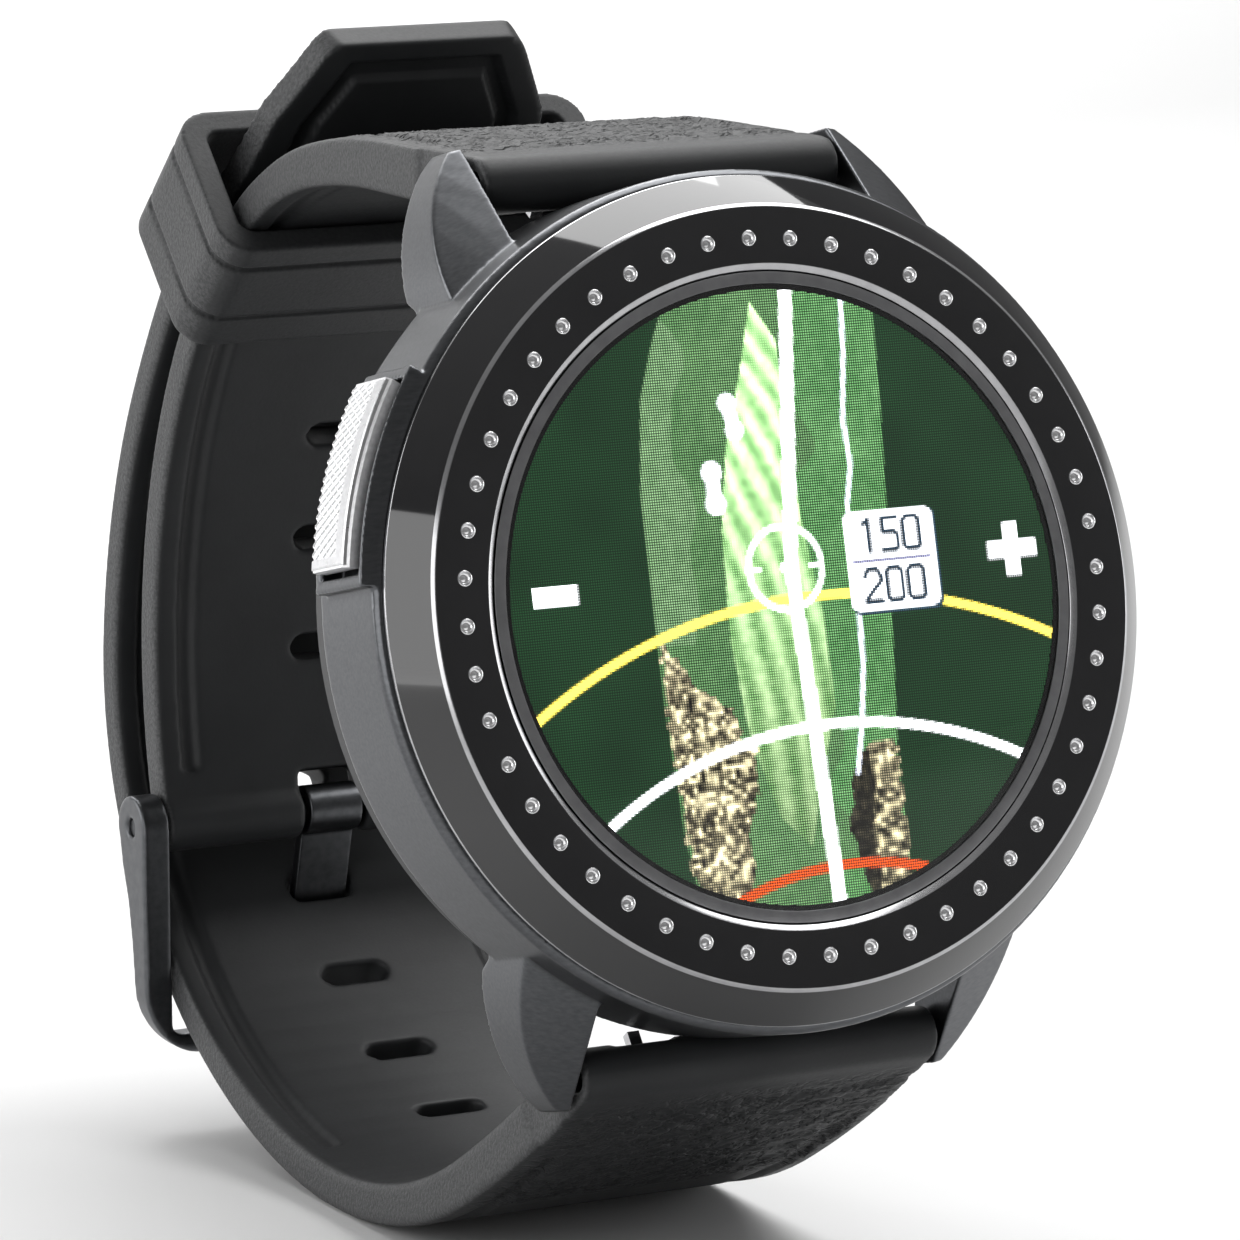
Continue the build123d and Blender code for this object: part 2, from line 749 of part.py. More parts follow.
with BuildPart() as long_strap:
    with BuildSketch(side) as long_side:
        with BuildLine():
            top = Spline(*shifted(long_line, long_stages, 0.5))
            low = Spline(*shifted(long_line, long_stages, -0.5))
            Line(top @ 0, low @ 0)
            Line(top @ 1, low @ 1)
        make_face()
        with Locations(lower_bar):
            Circle(1.5)
    extrude(amount=strap_w / 2, both=True)
    fillet(
        [
            e
            for e in long_strap.edges()
            if e.length > 50 and abs(abs(e.center().X - dial_x) - strap_w / 2) < 0.1
        ],
        0.35,
    )
    with BuildSketch(side) as long_relief:
        with Locations(lower_bar):
            Circle(6.2)
    extrude(amount=strap_w / 2 + 1, both=True, mode=Mode.SUBTRACT)
    with BuildSketch(side) as long_root:
        with BuildLine():
            root = [p for p in long_line if p[2] <= 7.01]
            r_top = Spline(*shifted(root, long_stages, 0.5))
            r_low = Spline(*shifted(root, long_stages, -0.5))
            Line(r_top @ 0, r_low @ 0)
            Line(r_top @ 1, r_low @ 1)
        make_face()
        with Locations(lower_bar):
            Circle(1.5)
    extrude(amount=strap_gap_w / 2, both=True)
    with BuildSketch(side) as long_bore:
        with Locations(lower_bar):
            Circle(0.78)
    extrude(amount=strap_w, both=True, mode=Mode.SUBTRACT)
    for i in range(long_count):
        if i != tang_slot:
            place = strap_frame(long_line, long_first + i * slot_pitch)
            with BuildSketch(place.offset(-3)) as slot:
                SlotOverall(slot_len, slot_w)
            extrude(amount=6, mode=Mode.SUBTRACT)
    # slot drawn open by the tang
    with BuildSketch(tang_run) as worked_slot:
        with Locations((0, 0.12)):
            SlotOverall(slot_len, tang_slot_w)
    extrude(amount=9.5, mode=Mode.SUBTRACT)
    # tail narrows past the keeper and ends in two corner cuts
    with BuildSketch(strap_frame(long_line, tip_from).offset(-12)) as tip_cut:
        with Locations((0, 3.5)):
            Rectangle(32.0, 33.0)
        with BuildLine():
            outline = [(-11.2, -13.0), (-8.7, 0.0), (-5.9, 5.45), (5.9, 5.45), (8.7, 0.0), (11.2, -13.0)]
            FilletPolyline(*outline, radius=2.2)
            Line(outline[-1], outline[0])
        make_face(mode=Mode.SUBTRACT)
    extrude(amount=24, mode=Mode.SUBTRACT)
    with BuildSketch(side.offset(-8.3)) as lever_window:
        with Locations(Location((lower_bar[0], lower_bar[1], 0), (0, 0, lever_turns[1]))):
            with Locations((1.6, 0)):
                Rectangle(3.2, 1.7)
    extrude(amount=3.6, mode=Mode.SUBTRACT)
    with BuildSketch(side) as long_groove:
        with BuildLine():
            run = [p for p in long_line if 36.0 <= p[2] <= 104.1]
            deep = [(d, t - 2 * groove_deep) for d, t in long_stages]
            g_in = Spline(*shifted(run, deep, 0.5))
            g_out = Spline(*shifted(run, long_stages, 0.62))
            Line(g_in @ 0, g_out @ 0)
            Line(g_in @ 1, g_out @ 1)
        make_face()
    for x0 in (groove_in, -groove_out):
        extrude(long_groove.sketch.moved(Location((x0, 0, 0))),
                amount=groove_out - groove_in, mode=Mode.SUBTRACT)
long_strap.part.label = "long_strap"
export_step(long_strap.part, "parts/long_strap.step")

# ================================================================ keeper
keeper_head = math.radians(keeper_start[1] + keeper_turn)
keeper_out_dir = (math.sin(keeper_head), math.cos(keeper_head))
keeper_origin = centre + Vector(0, arc_centre[0], arc_centre[1])
# local x is world X, local y runs up along the strap, local z leaves the wrist
keeper_frame = Plane(
    origin=keeper_origin, x_dir=(1, 0, 0), z_dir=(0, keeper_out_dir[0], keeper_out_dir[1])
)
keeper_low = keeper_in_low - keeper_wall
keeper_high = keeper_in_high + keeper_wall
keeper_mid = (keeper_low + keeper_high) / 2
with BuildPart() as keeper:
    # section across the strap: world X against distance from the wrist side
    with BuildSketch(
        Plane(origin=keeper_origin, x_dir=(1, 0, 0), z_dir=-keeper_frame.y_dir).offset(-keeper_len / 2)
    ) as keeper_ring:
        with Locations((0, keeper_mid)):
            RectangleRounded(2 * keeper_half, keeper_high - keeper_low, 2.0)
        with Locations((0, (keeper_in_low + keeper_in_high) / 2)):
            RectangleRounded(2 * keeper_bore, keeper_in_high - keeper_in_low, 0.8, mode=Mode.SUBTRACT)
    extrude(amount=keeper_len)
    fillet(keeper.faces().sort_by(Axis(keeper_origin, keeper_frame.y_dir))[-1].edges(), 0.6)
    for height in (1.6, -2.95):
        with BuildSketch(
            Plane(origin=keeper_origin, x_dir=(1, 0, 0), z_dir=keeper_frame.y_dir).offset(height)
        ) as band_line:
            with Locations((0, -keeper_mid)):
                RectangleRounded(2 * keeper_half + 2, keeper_high - keeper_low + 2, 2.6)
                RectangleRounded(
                    2 * keeper_half - 0.6, keeper_high - keeper_low - 0.6, 1.7, mode=Mode.SUBTRACT
                )
        extrude(amount=0.35, mode=Mode.SUBTRACT)
keeper.part.label = "keeper"
export_step(keeper.part, "parts/keeper.step")

# ================================================================ buckle
cross = (buckle_pin[0] + cross_at[0], buckle_pin[1] + cross_at[1])
arm_front = [(-1.9, 0.0), (-1.9, -4.0), (-2.0, -8.5), (cross_at[0] - cross_r, cross_at[1])]
arm_rear = [(cross_at[0] + cross_r, cross_at[1]), (-0.2, -9.5), (0.1, -7.0), (0.6, -4.5)]
arm_rear += [(1.35, -2.5), (1.9, 0.0)]
with BuildPart() as buckle_frame:
    with BuildSketch(side) as frame_side:
        with BuildLine():
            Polyline(
                *[(buckle_pin[0] + y, buckle_pin[1] + z) for y, z in arm_front + arm_rear],
                close=True,
            )
        make_face()
        with Locations(buckle_pin):
            Circle(ear_r)
        with Locations(cross):
            Circle(cross_r)
    extrude(amount=buckle_out, both=True)
    # front outline: two arms joined by a crossbar with generous corners
    front = Plane(
        origin=centre + Vector(0, buckle_pin[0] - 6, buckle_pin[1]), x_dir=(1, 0, 0), z_dir=(0, -1, 0)
    )
    with BuildSketch(front) as frame_front:
        with Locations((0, cross_at[1] - cross_r - 0.05 + 10)):
            RectangleRounded(2 * buckle_out, 20.0, 4.2)
        with Locations((0, cross_at[1] + 0.6 + 10)):
            RectangleRounded(2 * buckle_in, 20.0, 0.6, mode=Mode.SUBTRACT)
    extrude(amount=-14, mode=Mode.INTERSECT)
    with BuildSketch(side) as ear_holes:
        with Locations(buckle_pin):
            Circle(0.55)
    extrude(amount=20, both=True, mode=Mode.SUBTRACT)
buckle_frame.part.label = "buckle_frame"
export_step(buckle_frame.part, "parts/buckle_frame.step")

with BuildPart() as buckle_bar:
    with BuildSketch(side) as bar_body:
        with Locations(buckle_pin):
            Circle(pin_r)
    extrude(amount=11.0, both=True)
    with BuildSketch(side) as bar_tips:
        with Locations(buckle_pin):
            Circle(0.5)
    extrude(amount=buckle_out - 0.25, both=True)
buckle_bar.part.label = "buckle_bar"
export_step(buckle_bar.part, "parts/buckle_bar.step")

with BuildPart() as tang:
    with BuildSketch(side) as tang_side:
        with BuildLine():
            run = Polyline(
                (buckle_pin[0] + tang_dir[0], buckle_pin[1] + tang_dir[1]),
                (buckle_pin[0] + tang_elbow[0], buckle_pin[1] + tang_elbow[1]),
                (buckle_pin[0] + tang_tip[0], buckle_pin[1] + tang_tip[1]),
            )
            offset(run, tang_t / 2, side=Side.BOTH)
        make_face()
        with Locations(buckle_pin):
            Circle(1.45)
            Circle(pin_r + 0.05, mode=Mode.SUBTRACT)
    extrude(amount=tang_w / 2, both=True)
tang.part.label = "tang"
export_step(tang.part, "parts/tang.step")
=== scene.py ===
import json
import math

import bmesh
import bpy
import numpy as np
from mathutils import Matrix, Vector, noise


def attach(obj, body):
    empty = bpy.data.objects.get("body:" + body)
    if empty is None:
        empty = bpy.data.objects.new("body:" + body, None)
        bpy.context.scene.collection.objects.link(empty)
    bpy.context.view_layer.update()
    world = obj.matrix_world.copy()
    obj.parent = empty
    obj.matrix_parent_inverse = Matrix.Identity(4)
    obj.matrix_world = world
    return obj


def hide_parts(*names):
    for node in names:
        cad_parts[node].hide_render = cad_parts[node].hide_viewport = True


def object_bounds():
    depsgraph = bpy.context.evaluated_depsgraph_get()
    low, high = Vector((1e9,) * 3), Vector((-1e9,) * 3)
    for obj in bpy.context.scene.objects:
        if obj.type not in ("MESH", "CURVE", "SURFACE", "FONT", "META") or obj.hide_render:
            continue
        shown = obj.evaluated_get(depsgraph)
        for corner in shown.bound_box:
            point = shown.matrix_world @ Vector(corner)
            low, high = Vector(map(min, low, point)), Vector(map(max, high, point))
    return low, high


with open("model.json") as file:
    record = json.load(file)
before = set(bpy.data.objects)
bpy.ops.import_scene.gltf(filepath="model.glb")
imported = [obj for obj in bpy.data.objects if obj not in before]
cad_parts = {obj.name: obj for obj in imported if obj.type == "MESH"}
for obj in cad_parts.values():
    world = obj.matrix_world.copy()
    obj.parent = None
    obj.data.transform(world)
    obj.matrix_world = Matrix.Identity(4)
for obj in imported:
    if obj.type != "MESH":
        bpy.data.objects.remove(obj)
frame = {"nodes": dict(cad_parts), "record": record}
rest_low, rest_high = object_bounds()
nodes = frame["nodes"]
MM = 0.001

# ---------------------------------------------------------------- dial frame
# The case back's flat gives the dial's direction: x to 3 o'clock, y to 12, z out of the glass.
back_mount = next(m for m in frame["record"]["mounts"] if m["name"] == "case_back")
case_depth = 12.6
face_out = -Vector(back_mount["axis"]).normalized()
to_three = Vector((1, 0, 0))
to_twelve = face_out.cross(to_three)
dial_centre = Vector(back_mount["pos_m"]) + face_out * case_depth * MM
DIAL = Matrix.Translation(dial_centre) @ Matrix((to_three, to_twelve, face_out)).transposed().to_4x4()

# ---------------------------------------------------------------- sizes, millimetres
bezel_in_r = 17.2
ring_in_r = 17.52
ring_out_r = 20.47
bezel_r = 22.5
dimple_pcd_r = 18.9
dimple_r = 0.42
dimple_count = 48
screen_r = 16.3
screen_z = -0.34            # the lens makes the picture look this shallow
pixel = 0.1375
picture_shift = 0.42        # the course map sits this far to the left of its own centre

push_angle = 68.9          # button, from 12 o'clock towards 9 o'clock
push_span = 24.4
push_r = 24.3
push_top = -3.05           # heights of the button pad under the ring
push_bottom = -7.15

strap_half = 11.0
tail_end = 121.5
loop_r = 34.7
upper_bar = (15.265, 20.541)   # spring bars from the dial centre, along +Y and +Z
lower_bar = (3.887, -25.576)
short_bends = [(11.5, 0), (8.5, 45.0), (13.0, 23.5), (38.8, loop_r)]
long_bends = [(16.0, -101.0), (16.5, -32.0), (18.5, -35.5), (14.0, -28.0)]
long_bends += [(13.0, -20.5), (16.0, -37.0), (15.0, -70.0), (12.5, 46.0)]
short_stages = [(0, 3.2), (12, 2.9), (26, 2.3), (90, 2.3)]
long_stages = [(0, 3.0), (12, 2.8), (30, 2.4), (60, 2.2), (125, 2.0)]
short_start = 0.4
long_start = 38.35


# ================================================================ helpers
def new_object(name, mesh):
    obj = bpy.data.objects.new(name, mesh)
    bpy.context.scene.collection.objects.link(obj)
    return obj


def mesh_from(name, verts, faces, place=None):
    mesh = bpy.data.meshes.new(name)
    mesh.from_pydata([tuple(v) for v in verts], [], faces)
    if place is not None:
        mesh.transform(place)
    mesh.update()
    return new_object(name, mesh)


def settle(obj):
    """Applies the object's modifiers to its mesh."""
    bpy.context.view_layer.update()
    graph = bpy.context.evaluated_depsgraph_get()
    done = bpy.data.meshes.new_from_object(obj.evaluated_get(graph))
    obj.modifiers.clear()
    obj.data = done
    return obj


def copy_of(node, name):
    return new_object(name, nodes[node].data.copy())


def shade(obj, angle=35.0):
    obj.data.shade_smooth()
    if angle:
        obj.data.set_sharp_from_angle(angle=math.radians(angle))


def paint(obj, mat):
    obj.data.materials.clear()
    obj.data.materials.append(mat)


def remesh(obj, voxel, rounds, factor=0.5):
    """Voxel skin with softened edges."""
    skin = obj.modifiers.new("skin", "REMESH")
    skin.mode = "VOXEL"
    skin.voxel_size = voxel * MM
    soft = obj.modifiers.new("soft", "SMOOTH")
    soft.factor = factor
    soft.iterations = rounds
    settle(obj)
    obj.data.shade_smooth()
    return obj


def points_of(obj):
    co = np.empty(len(obj.data.vertices) * 3, np.float64)
    obj.data.vertices.foreach_get("co", co)
    return co.reshape(-1, 3)


def set_points(obj, co):
    obj.data.vertices.foreach_set("co", co.astype(np.float32).ravel())
    obj.data.update()


def rounded(profile, radius, steps=4):
    """Closed profile with every corner replaced by a small arc."""
    out = []
    count = len(profile)
    for i in range(count):
        p0 = Vector(profile[i - 1])
        p1 = Vector(profile[i])
        p2 = Vector(profile[(i + 1) % count])
        reach = min(radius, (p0 - p1).length * 0.45, (p2 - p1).length * 0.45)
        a = p1 + (p0 - p1).normalized() * reach
        b = p1 + (p2 - p1).normalized() * reach
        for k in range(steps + 1):
            t = k / steps
            out.append(tuple(a * (1 - t) ** 2 + p1 * 2 * t * (1 - t) + b * t ** 2))
    return out


def lathe(name, profile, segments=256, place=DIAL):
    """Closed (radius, height) profile in millimetres turned about z."""
    verts = []
    for i in range(segments):
        a = 2 * math.pi * i / segments
        for r, z in profile:
            verts.append((r * MM * math.cos(a), r * MM * math.sin(a), z * MM))
    n = len(profile)
    faces = []
    for i in range(segments):
        j = (i + 1) % segments
        for k in range(n):
            m = (k + 1) % n
            faces.append((i * n + k, j * n + k, j * n + m, i * n + m))
    obj = mesh_from(name, verts, faces, place)
    bm = bmesh.new()
    bm.from_mesh(obj.data)
    bmesh.ops.remove_doubles(bm, verts=bm.verts, dist=1e-7)
    bmesh.ops.recalc_face_normals(bm, faces=bm.faces)
    bm.to_mesh(obj.data)
    bm.free()
    return obj


# ================================================================ materials
def start_material(name):
    mat = bpy.data.materials.new(name)
    mat.use_nodes = True
    tree = mat.node_tree
    return mat, tree, tree.nodes["Principled BSDF"]


def add(tree, kind, inputs=None, **settings):
    node = tree.nodes.new(kind)
    for key, value in settings.items():
        setattr(node, key, value)
    for key, value in (inputs or {}).items():
        node.inputs[key].default_value = value
    return node


def object_noise(tree, scale, stretch=(1, 1, 1), detail=4.0, rough=0.55):
    coord = add(tree, "ShaderNodeTexCoord")
    mapping = add(tree, "ShaderNodeMapping", {"Scale": stretch})
    tree.links.new(coord.outputs["Object"], mapping.inputs["Vector"])
    tex = add(tree, "ShaderNodeTexNoise", {"Scale": scale, "Detail": detail, "Roughness": rough})
    tree.links.new(mapping.outputs["Vector"], tex.inputs["Vector"])
    return tex.outputs["Fac"]


def ramp(tree, source, low, high, start=0.3, stop=0.7):
    node = add(tree, "ShaderNodeValToRGB")
    node.color_ramp.elements[0].position = start
    node.color_ramp.elements[0].color = (*low, 1)
    node.color_ramp.elements[1].position = stop
    node.color_ramp.elements[1].color = (*high, 1)
    tree.links.new(source, node.inputs["Fac"])
    return node.outputs["Color"]


def span(tree, source, low, high):
    node = add(tree, "ShaderNodeMapRange", {"To Min": low, "To Max": high})
    tree.links.new(source, node.inputs["Value"])
    return node.outputs["Result"]


def bump(tree, bsdf, source, strength, depth, after=None):
    node = add(tree, "ShaderNodeBump", {"Strength": strength, "Distance": depth * MM})
    tree.links.new(source, node.inputs["Height"])
    if after is not None:
        tree.links.new(after, node.inputs["Normal"])
    tree.links.new(node.outputs["Normal"], bsdf.inputs["Normal"])
    return node.outputs["Normal"]


def product(tree, first, second):
    node = add(tree, "ShaderNodeMath", operation="MULTIPLY")
    tree.links.new(first, node.inputs[0])
    tree.links.new(second, node.inputs[1])
    return node.outputs["Value"]


def rubber_material():
    """Matte charcoal rubber: sandy side faces, leathery creases near the case."""
    mat, tree, bsdf = start_material("strap_rubber")
    fine = object_noise(tree, 5200, detail=3.0)
    cloud = object_noise(tree, 240, detail=3.0)
    sand = object_noise(tree, 4600, detail=2.0, rough=0.6)
    fold = object_noise(tree, 620, (1, 1.7, 1.7), detail=3.0, rough=0.5)
    edge = add(tree, "ShaderNodeAttribute", attribute_name="edge").outputs["Fac"]
    hide = add(tree, "ShaderNodeAttribute", attribute_name="hide").outputs["Fac"]
    skin = ramp(tree, cloud, (0.014, 0.0148, 0.0158), (0.019, 0.020, 0.0212))
    side = ramp(tree, sand, (0.034, 0.035, 0.036), (0.070, 0.071, 0.073), 0.35, 0.65)
    colour = add(tree, "ShaderNodeMix", data_type="RGBA")
    tree.links.new(edge, colour.inputs[0])
    tree.links.new(skin, colour.inputs[6])
    tree.links.new(side, colour.inputs[7])
    tree.links.new(colour.outputs[2], bsdf.inputs["Base Color"])
    tree.links.new(span(tree, fine, 0.46, 0.62), bsdf.inputs["Roughness"])
    bsdf.inputs["Specular IOR Level"].default_value = 0.34
    first = bump(tree, bsdf, fine, 0.3, 0.025)
    second = bump(tree, bsdf, product(tree, sand, edge), 0.7, 0.09, first)
    away = add(tree, "ShaderNodeMath", {1: 0.5}, operation="SUBTRACT")
    tree.links.new(fold, away.inputs[0])
    size = add(tree, "ShaderNodeMath", operation="ABSOLUTE")
    tree.links.new(away.outputs[0], size.inputs[0])
    vein = add(tree, "ShaderNodeMapRange", {"From Max": 0.07, "To Min": 0.0, "To Max": 1.0})
    tree.links.new(size.outputs[0], vein.inputs["Value"])
    bump(tree, bsdf, product(tree, vein.outputs["Result"], hide), 0.8, 0.16, second)
    return mat


def metal_material(name, low, high, rough, stretch=(1, 1, 1), scale=900, grain=0.02):
    mat, tree, bsdf = start_material(name)
    streak = object_noise(tree, scale, stretch, detail=5.0)
    cloud = object_noise(tree, 160, detail=2.0)
    tree.links.new(ramp(tree, streak, low, high), bsdf.inputs["Base Color"])
    tree.links.new(span(tree, cloud, rough * 0.9, rough * 1.1), bsdf.inputs["Roughness"])
    bsdf.inputs["Metallic"].default_value = 1.0
    bump(tree, bsdf, streak, 0.25, grain)
    return mat


def knurl_material():
    """Bright button metal, with painted shade darkening the pits of the knurl."""
    mat, tree, bsdf = start_material("button_knurl")
    fleck = object_noise(tree, 3200, detail=4.0)
    unshaded_metal = ramp(tree, fleck, (0.60, 0.60, 0.61), (0.72, 0.72, 0.73))
    pit_shade = add(tree, "ShaderNodeAttribute", attribute_name="pit_shade").outputs["Fac"]
    colour = add(tree, "ShaderNodeMix", data_type="RGBA")
    # painted shade: the deeper the pit, the closer the colour goes to this near black
    colour.inputs[7].default_value = (0.012, 0.012, 0.013, 1)
    tree.links.new(pit_shade, colour.inputs[0])
    tree.links.new(unshaded_metal, colour.inputs[6])
    tree.links.new(colour.outputs[2], bsdf.inputs["Base Color"])
    tree.links.new(span(tree, fleck, 0.24, 0.34), bsdf.inputs["Roughness"])
    bsdf.inputs["Metallic"].default_value = 1.0
    return mat


def gloss_material():
    """Polished black coating of the bezel."""
    mat, tree, bsdf = start_material("bezel_black")
    haze = object_noise(tree, 500, detail=3.0)
    tree.links.new(ramp(tree, haze, (0.006, 0.006, 0.007), (0.008, 0.008, 0.009)), bsdf.inputs["Base Color"])
    tree.links.new(span(tree, haze, 0.035, 0.055), bsdf.inputs["Roughness"])
    bsdf.inputs["Specular IOR Level"].default_value = 0.9
    return mat


def glass_material():
    """Clear lens: see-through with a faint surface reflection."""
    mat, tree, bsdf = start_material("lens_glass")
    tree.nodes.remove(bsdf)
    smear = object_noise(tree, 90, detail=2.0)
    shine = add(tree, "ShaderNodeBsdfGlossy")
    tree.links.new(span(tree, smear, 0.02, 0.04), shine.inputs["Roughness"])
    clear = add(tree, "ShaderNodeBsdfTransparent")
    edge_on = add(tree, "ShaderNodeFresnel", {"IOR": 1.33})
    mix = add(tree, "ShaderNodeMixShader")
    tree.links.new(edge_on.outputs["Fac"], mix.inputs[0])
    tree.links.new(clear.outputs[0], mix.inputs[1])
    tree.links.new(shine.outputs[0], mix.inputs[2])
    tree.links.new(mix.outputs[0], tree.nodes["Material Output"].inputs["Surface"])
    return mat


def plain_material(name, low, high, rough=0.5, metallic=0.0, scale=1500):
    """Moulded, printed or plated inner piece."""
    mat, tree, bsdf = start_material(name)
    speck = object_noise(tree, scale, detail=4.0)
    tree.links.new(ramp(tree, speck, low, high), bsdf.inputs["Base Color"])
    tree.links.new(span(tree, speck, rough * 0.85, rough * 1.15), bsdf.inputs["Roughness"])
    bsdf.inputs["Metallic"].default_value = metallic
    bump(tree, bsdf, speck, 0.2, 0.01)
    return mat


def screen_material():
    """Lit pixels: the colour comes from the mesh, the thin dark lines between pixels from its UV."""
    mat, tree, bsdf = start_material("screen_lit")
    colour = add(tree, "ShaderNodeAttribute", attribute_name="pixel").outputs["Color"]
    grid = add(tree, "ShaderNodeUVMap", uv_map="cell")
    split = add(tree, "ShaderNodeSeparateXYZ")
    tree.links.new(grid.outputs["UV"], split.inputs["Vector"])
    shares = []
    for axis in ("X", "Y"):
        away = add(tree, "ShaderNodeMath", {1: 0.5}, operation="SUBTRACT")
        tree.links.new(split.outputs[axis], away.inputs[0])
        size = add(tree, "ShaderNodeMath", operation="ABSOLUTE")
        tree.links.new(away.outputs[0], size.inputs[0])
        fade = {"From Min": 0.15, "From Max": 0.46, "To Min": 1.0, "To Max": 0.02}
        lit = add(tree, "ShaderNodeMapRange", fade)
        tree.links.new(size.outputs[0], lit.inputs["Value"])
        shares.append(lit.outputs["Result"])
    both = add(tree, "ShaderNodeMath", operation="MULTIPLY")
    tree.links.new(shares[0], both.inputs[0])
    tree.links.new(shares[1], both.inputs[1])
    # the brightest pixels spill over the gaps
    glow = add(tree, "ShaderNodeMapRange", {"From Min": 0.30, "From Max": 0.75})
    tree.links.new(colour, glow.inputs["Value"])
    filled = add(tree, "ShaderNodeMath", operation="MAXIMUM")
    tree.links.new(both.outputs[0], filled.inputs[0])
    tree.links.new(glow.outputs["Result"], filled.inputs[1])
    light = add(tree, "ShaderNodeMix", data_type="RGBA", blend_type="MULTIPLY")
    light.inputs[0].default_value = 1.0
    tree.links.new(colour, light.inputs[6])
    tree.links.new(filled.outputs[0], light.inputs[7])
    bsdf.inputs["Base Color"].default_value = (0.004, 0.004, 0.005, 1)
    bsdf.inputs["Roughness"].default_value = 0.3
    tree.links.new(light.outputs[2], bsdf.inputs["Emission Color"])
    bsdf.inputs["Emission Strength"].default_value = 2.6
    return mat


gunmetal = metal_material("gunmetal_satin", (0.09, 0.093, 0.098), (0.12, 0.123, 0.13),
                          0.29, (1, 5, 5), 1100, 0.006)
# metal lip round the lens; its light grey is partly the lip's own metal, partly a painted highlight for the
# thin bright line at the lens edge
lip_painted_highlight = metal_material("lens_lip", (0.30, 0.30, 0.31), (0.38, 0.38, 0.39), 0.3, (1, 1, 1), 900, 0.002)
# lighter metal for the bezel's edge chamfers: a painted highlight for the bright edge lines
painted_edge_highlight = metal_material("bezel_edge_painted_highlight", (0.40, 0.40, 0.41), (0.50, 0.50, 0.51), 0.20, (1, 1, 1), 900, 0.001)
silver = metal_material("button_silver", (0.70, 0.70, 0.71), (0.90, 0.90, 0.91), 0.5, (1, 1, 1), 3000, 0.05)
knurl_silver = knurl_material()
dark_satin = metal_material("buckle_satin", (0.085, 0.088, 0.093), (0.115, 0.118, 0.124),
                            0.36, (1, 1, 1), 1800, 0.008)
steel = metal_material("pin_steel", (0.42, 0.42, 0.43), (0.60, 0.60, 0.61), 0.25, (6, 1, 1), 900, 0.01)
bright = metal_material("pip_chrome", (0.84, 0.84, 0.85), (0.94, 0.94, 0.95), 0.2, (1, 1, 1), 1500, 0.001)
rubber = rubber_material()
black_gloss = gloss_material()
glass = glass_material()
screen_lit = screen_material()
inner_black = plain_material("screen_border", (0.003, 0.003, 0.004), (0.006, 0.006, 0.007), 0.25, 0.0, 500)
seal_rubber = plain_material("seal_rubber", (0.012, 0.012, 0.012), (0.03, 0.03, 0.03), 0.6)
inner_plastic = plain_material("inner_plastic", (0.02, 0.02, 0.022), (0.045, 0.045, 0.048), 0.55)
back_plastic = plain_material("back_plastic", (0.022, 0.022, 0.024), (0.04, 0.04, 0.043), 0.45, 0.0, 3500)
gold = plain_material("contact_gold", (0.72, 0.50, 0.16), (0.86, 0.64, 0.26), 0.22, 1.0, 900)
board_green = plain_material("board_green", (0.01, 0.06, 0.025), (0.02, 0.10, 0.04), 0.4, 0.0, 700)
chip_black = plain_material("chip_black", (0.012, 0.012, 0.013), (0.03, 0.03, 0.032), 0.5, 0.0, 2500)
ceramic = plain_material("aerial_ceramic", (0.55, 0.50, 0.40), (0.70, 0.65, 0.54), 0.45, 0.0, 1200)
foil = plain_material("cell_foil", (0.50, 0.51, 0.53), (0.66, 0.67, 0.69), 0.35, 0.9, 400)
amber = plain_material("ribbon_amber", (0.42, 0.17, 0.03), (0.58, 0.28, 0.06), 0.35, 0.0, 900)


# ================================================================ display picture
def soft_noise(x, y, size, seed):
    """Smooth value noise on a grid of the given cell size."""
    table = np.random.RandomState(seed).rand(64, 64)
    gx = x / size + 32
    gy = y / size + 32
    ix = np.floor(gx).astype(int)
    iy = np.floor(gy).astype(int)
    fx = gx - ix
    fy = gy - iy
    fx = fx * fx * (3 - 2 * fx)
    fy = fy * fy * (3 - 2 * fy)

    def at(dx, dy):
        return table[(iy + dy) % 64, (ix + dx) % 64]

    low = at(0, 0) * (1 - fx) + at(1, 0) * fx
    high = at(0, 1) * (1 - fx) + at(1, 1) * fx
    return low * (1 - fy) + high * fy


def segment_distance(x, y, a, b):
    ax, ay = a
    bx, by = b
    t = ((x - ax) * (bx - ax) + (y - ay) * (by - ay)) / ((bx - ax) ** 2 + (by - ay) ** 2)
    t = np.clip(t, 0, 1)
    return np.hypot(x - ax - t * (bx - ax), y - ay - t * (by - ay))


def line_distance(x, y, points):
    return np.min([segment_distance(x, y, a, b) for a, b in zip(points, points[1:])], axis=0)


def inside(x, y, outline):
    """True inside a closed outline, by counting crossings."""
    hit = np.zeros(x.shape, bool)
    for (ax, ay), (bx, by) in zip(outline, outline[1:] + outline[:1]):
        if ay == by:
            continue
        crosses = (ay > y) != (by > y)
        hit ^= crosses & (x < ax + (y - ay) * (bx - ax) / (by - ay))
    return hit


DIGITS = {
    "0": [
        [(0.2, 0.0), (0.0, 0.2), (0.0, 1.8), (0.2, 2.0), (0.8, 2.0), (1.0, 1.8), (1.0, 0.2), (0.8, 0.0),
         (0.2, 0.0)],
    ],
    "1": [[(0.25, 1.75), (0.55, 2.0), (0.55, 0.0)]],
    "2": [[(0.0, 1.6), (0.2, 2.0), (0.8, 2.0), (1.0, 1.6), (1.0, 1.25), (0.0, 0.2), (0.0, 0.0), (1.0, 0.0)]],
    "5": [
        [(1.0, 2.0), (0.05, 2.0), (0.05, 1.15), (0.8, 1.15), (1.0, 0.9), (1.0, 0.2), (0.8, 0.0),
         (0.0, 0.0)],
    ],
}


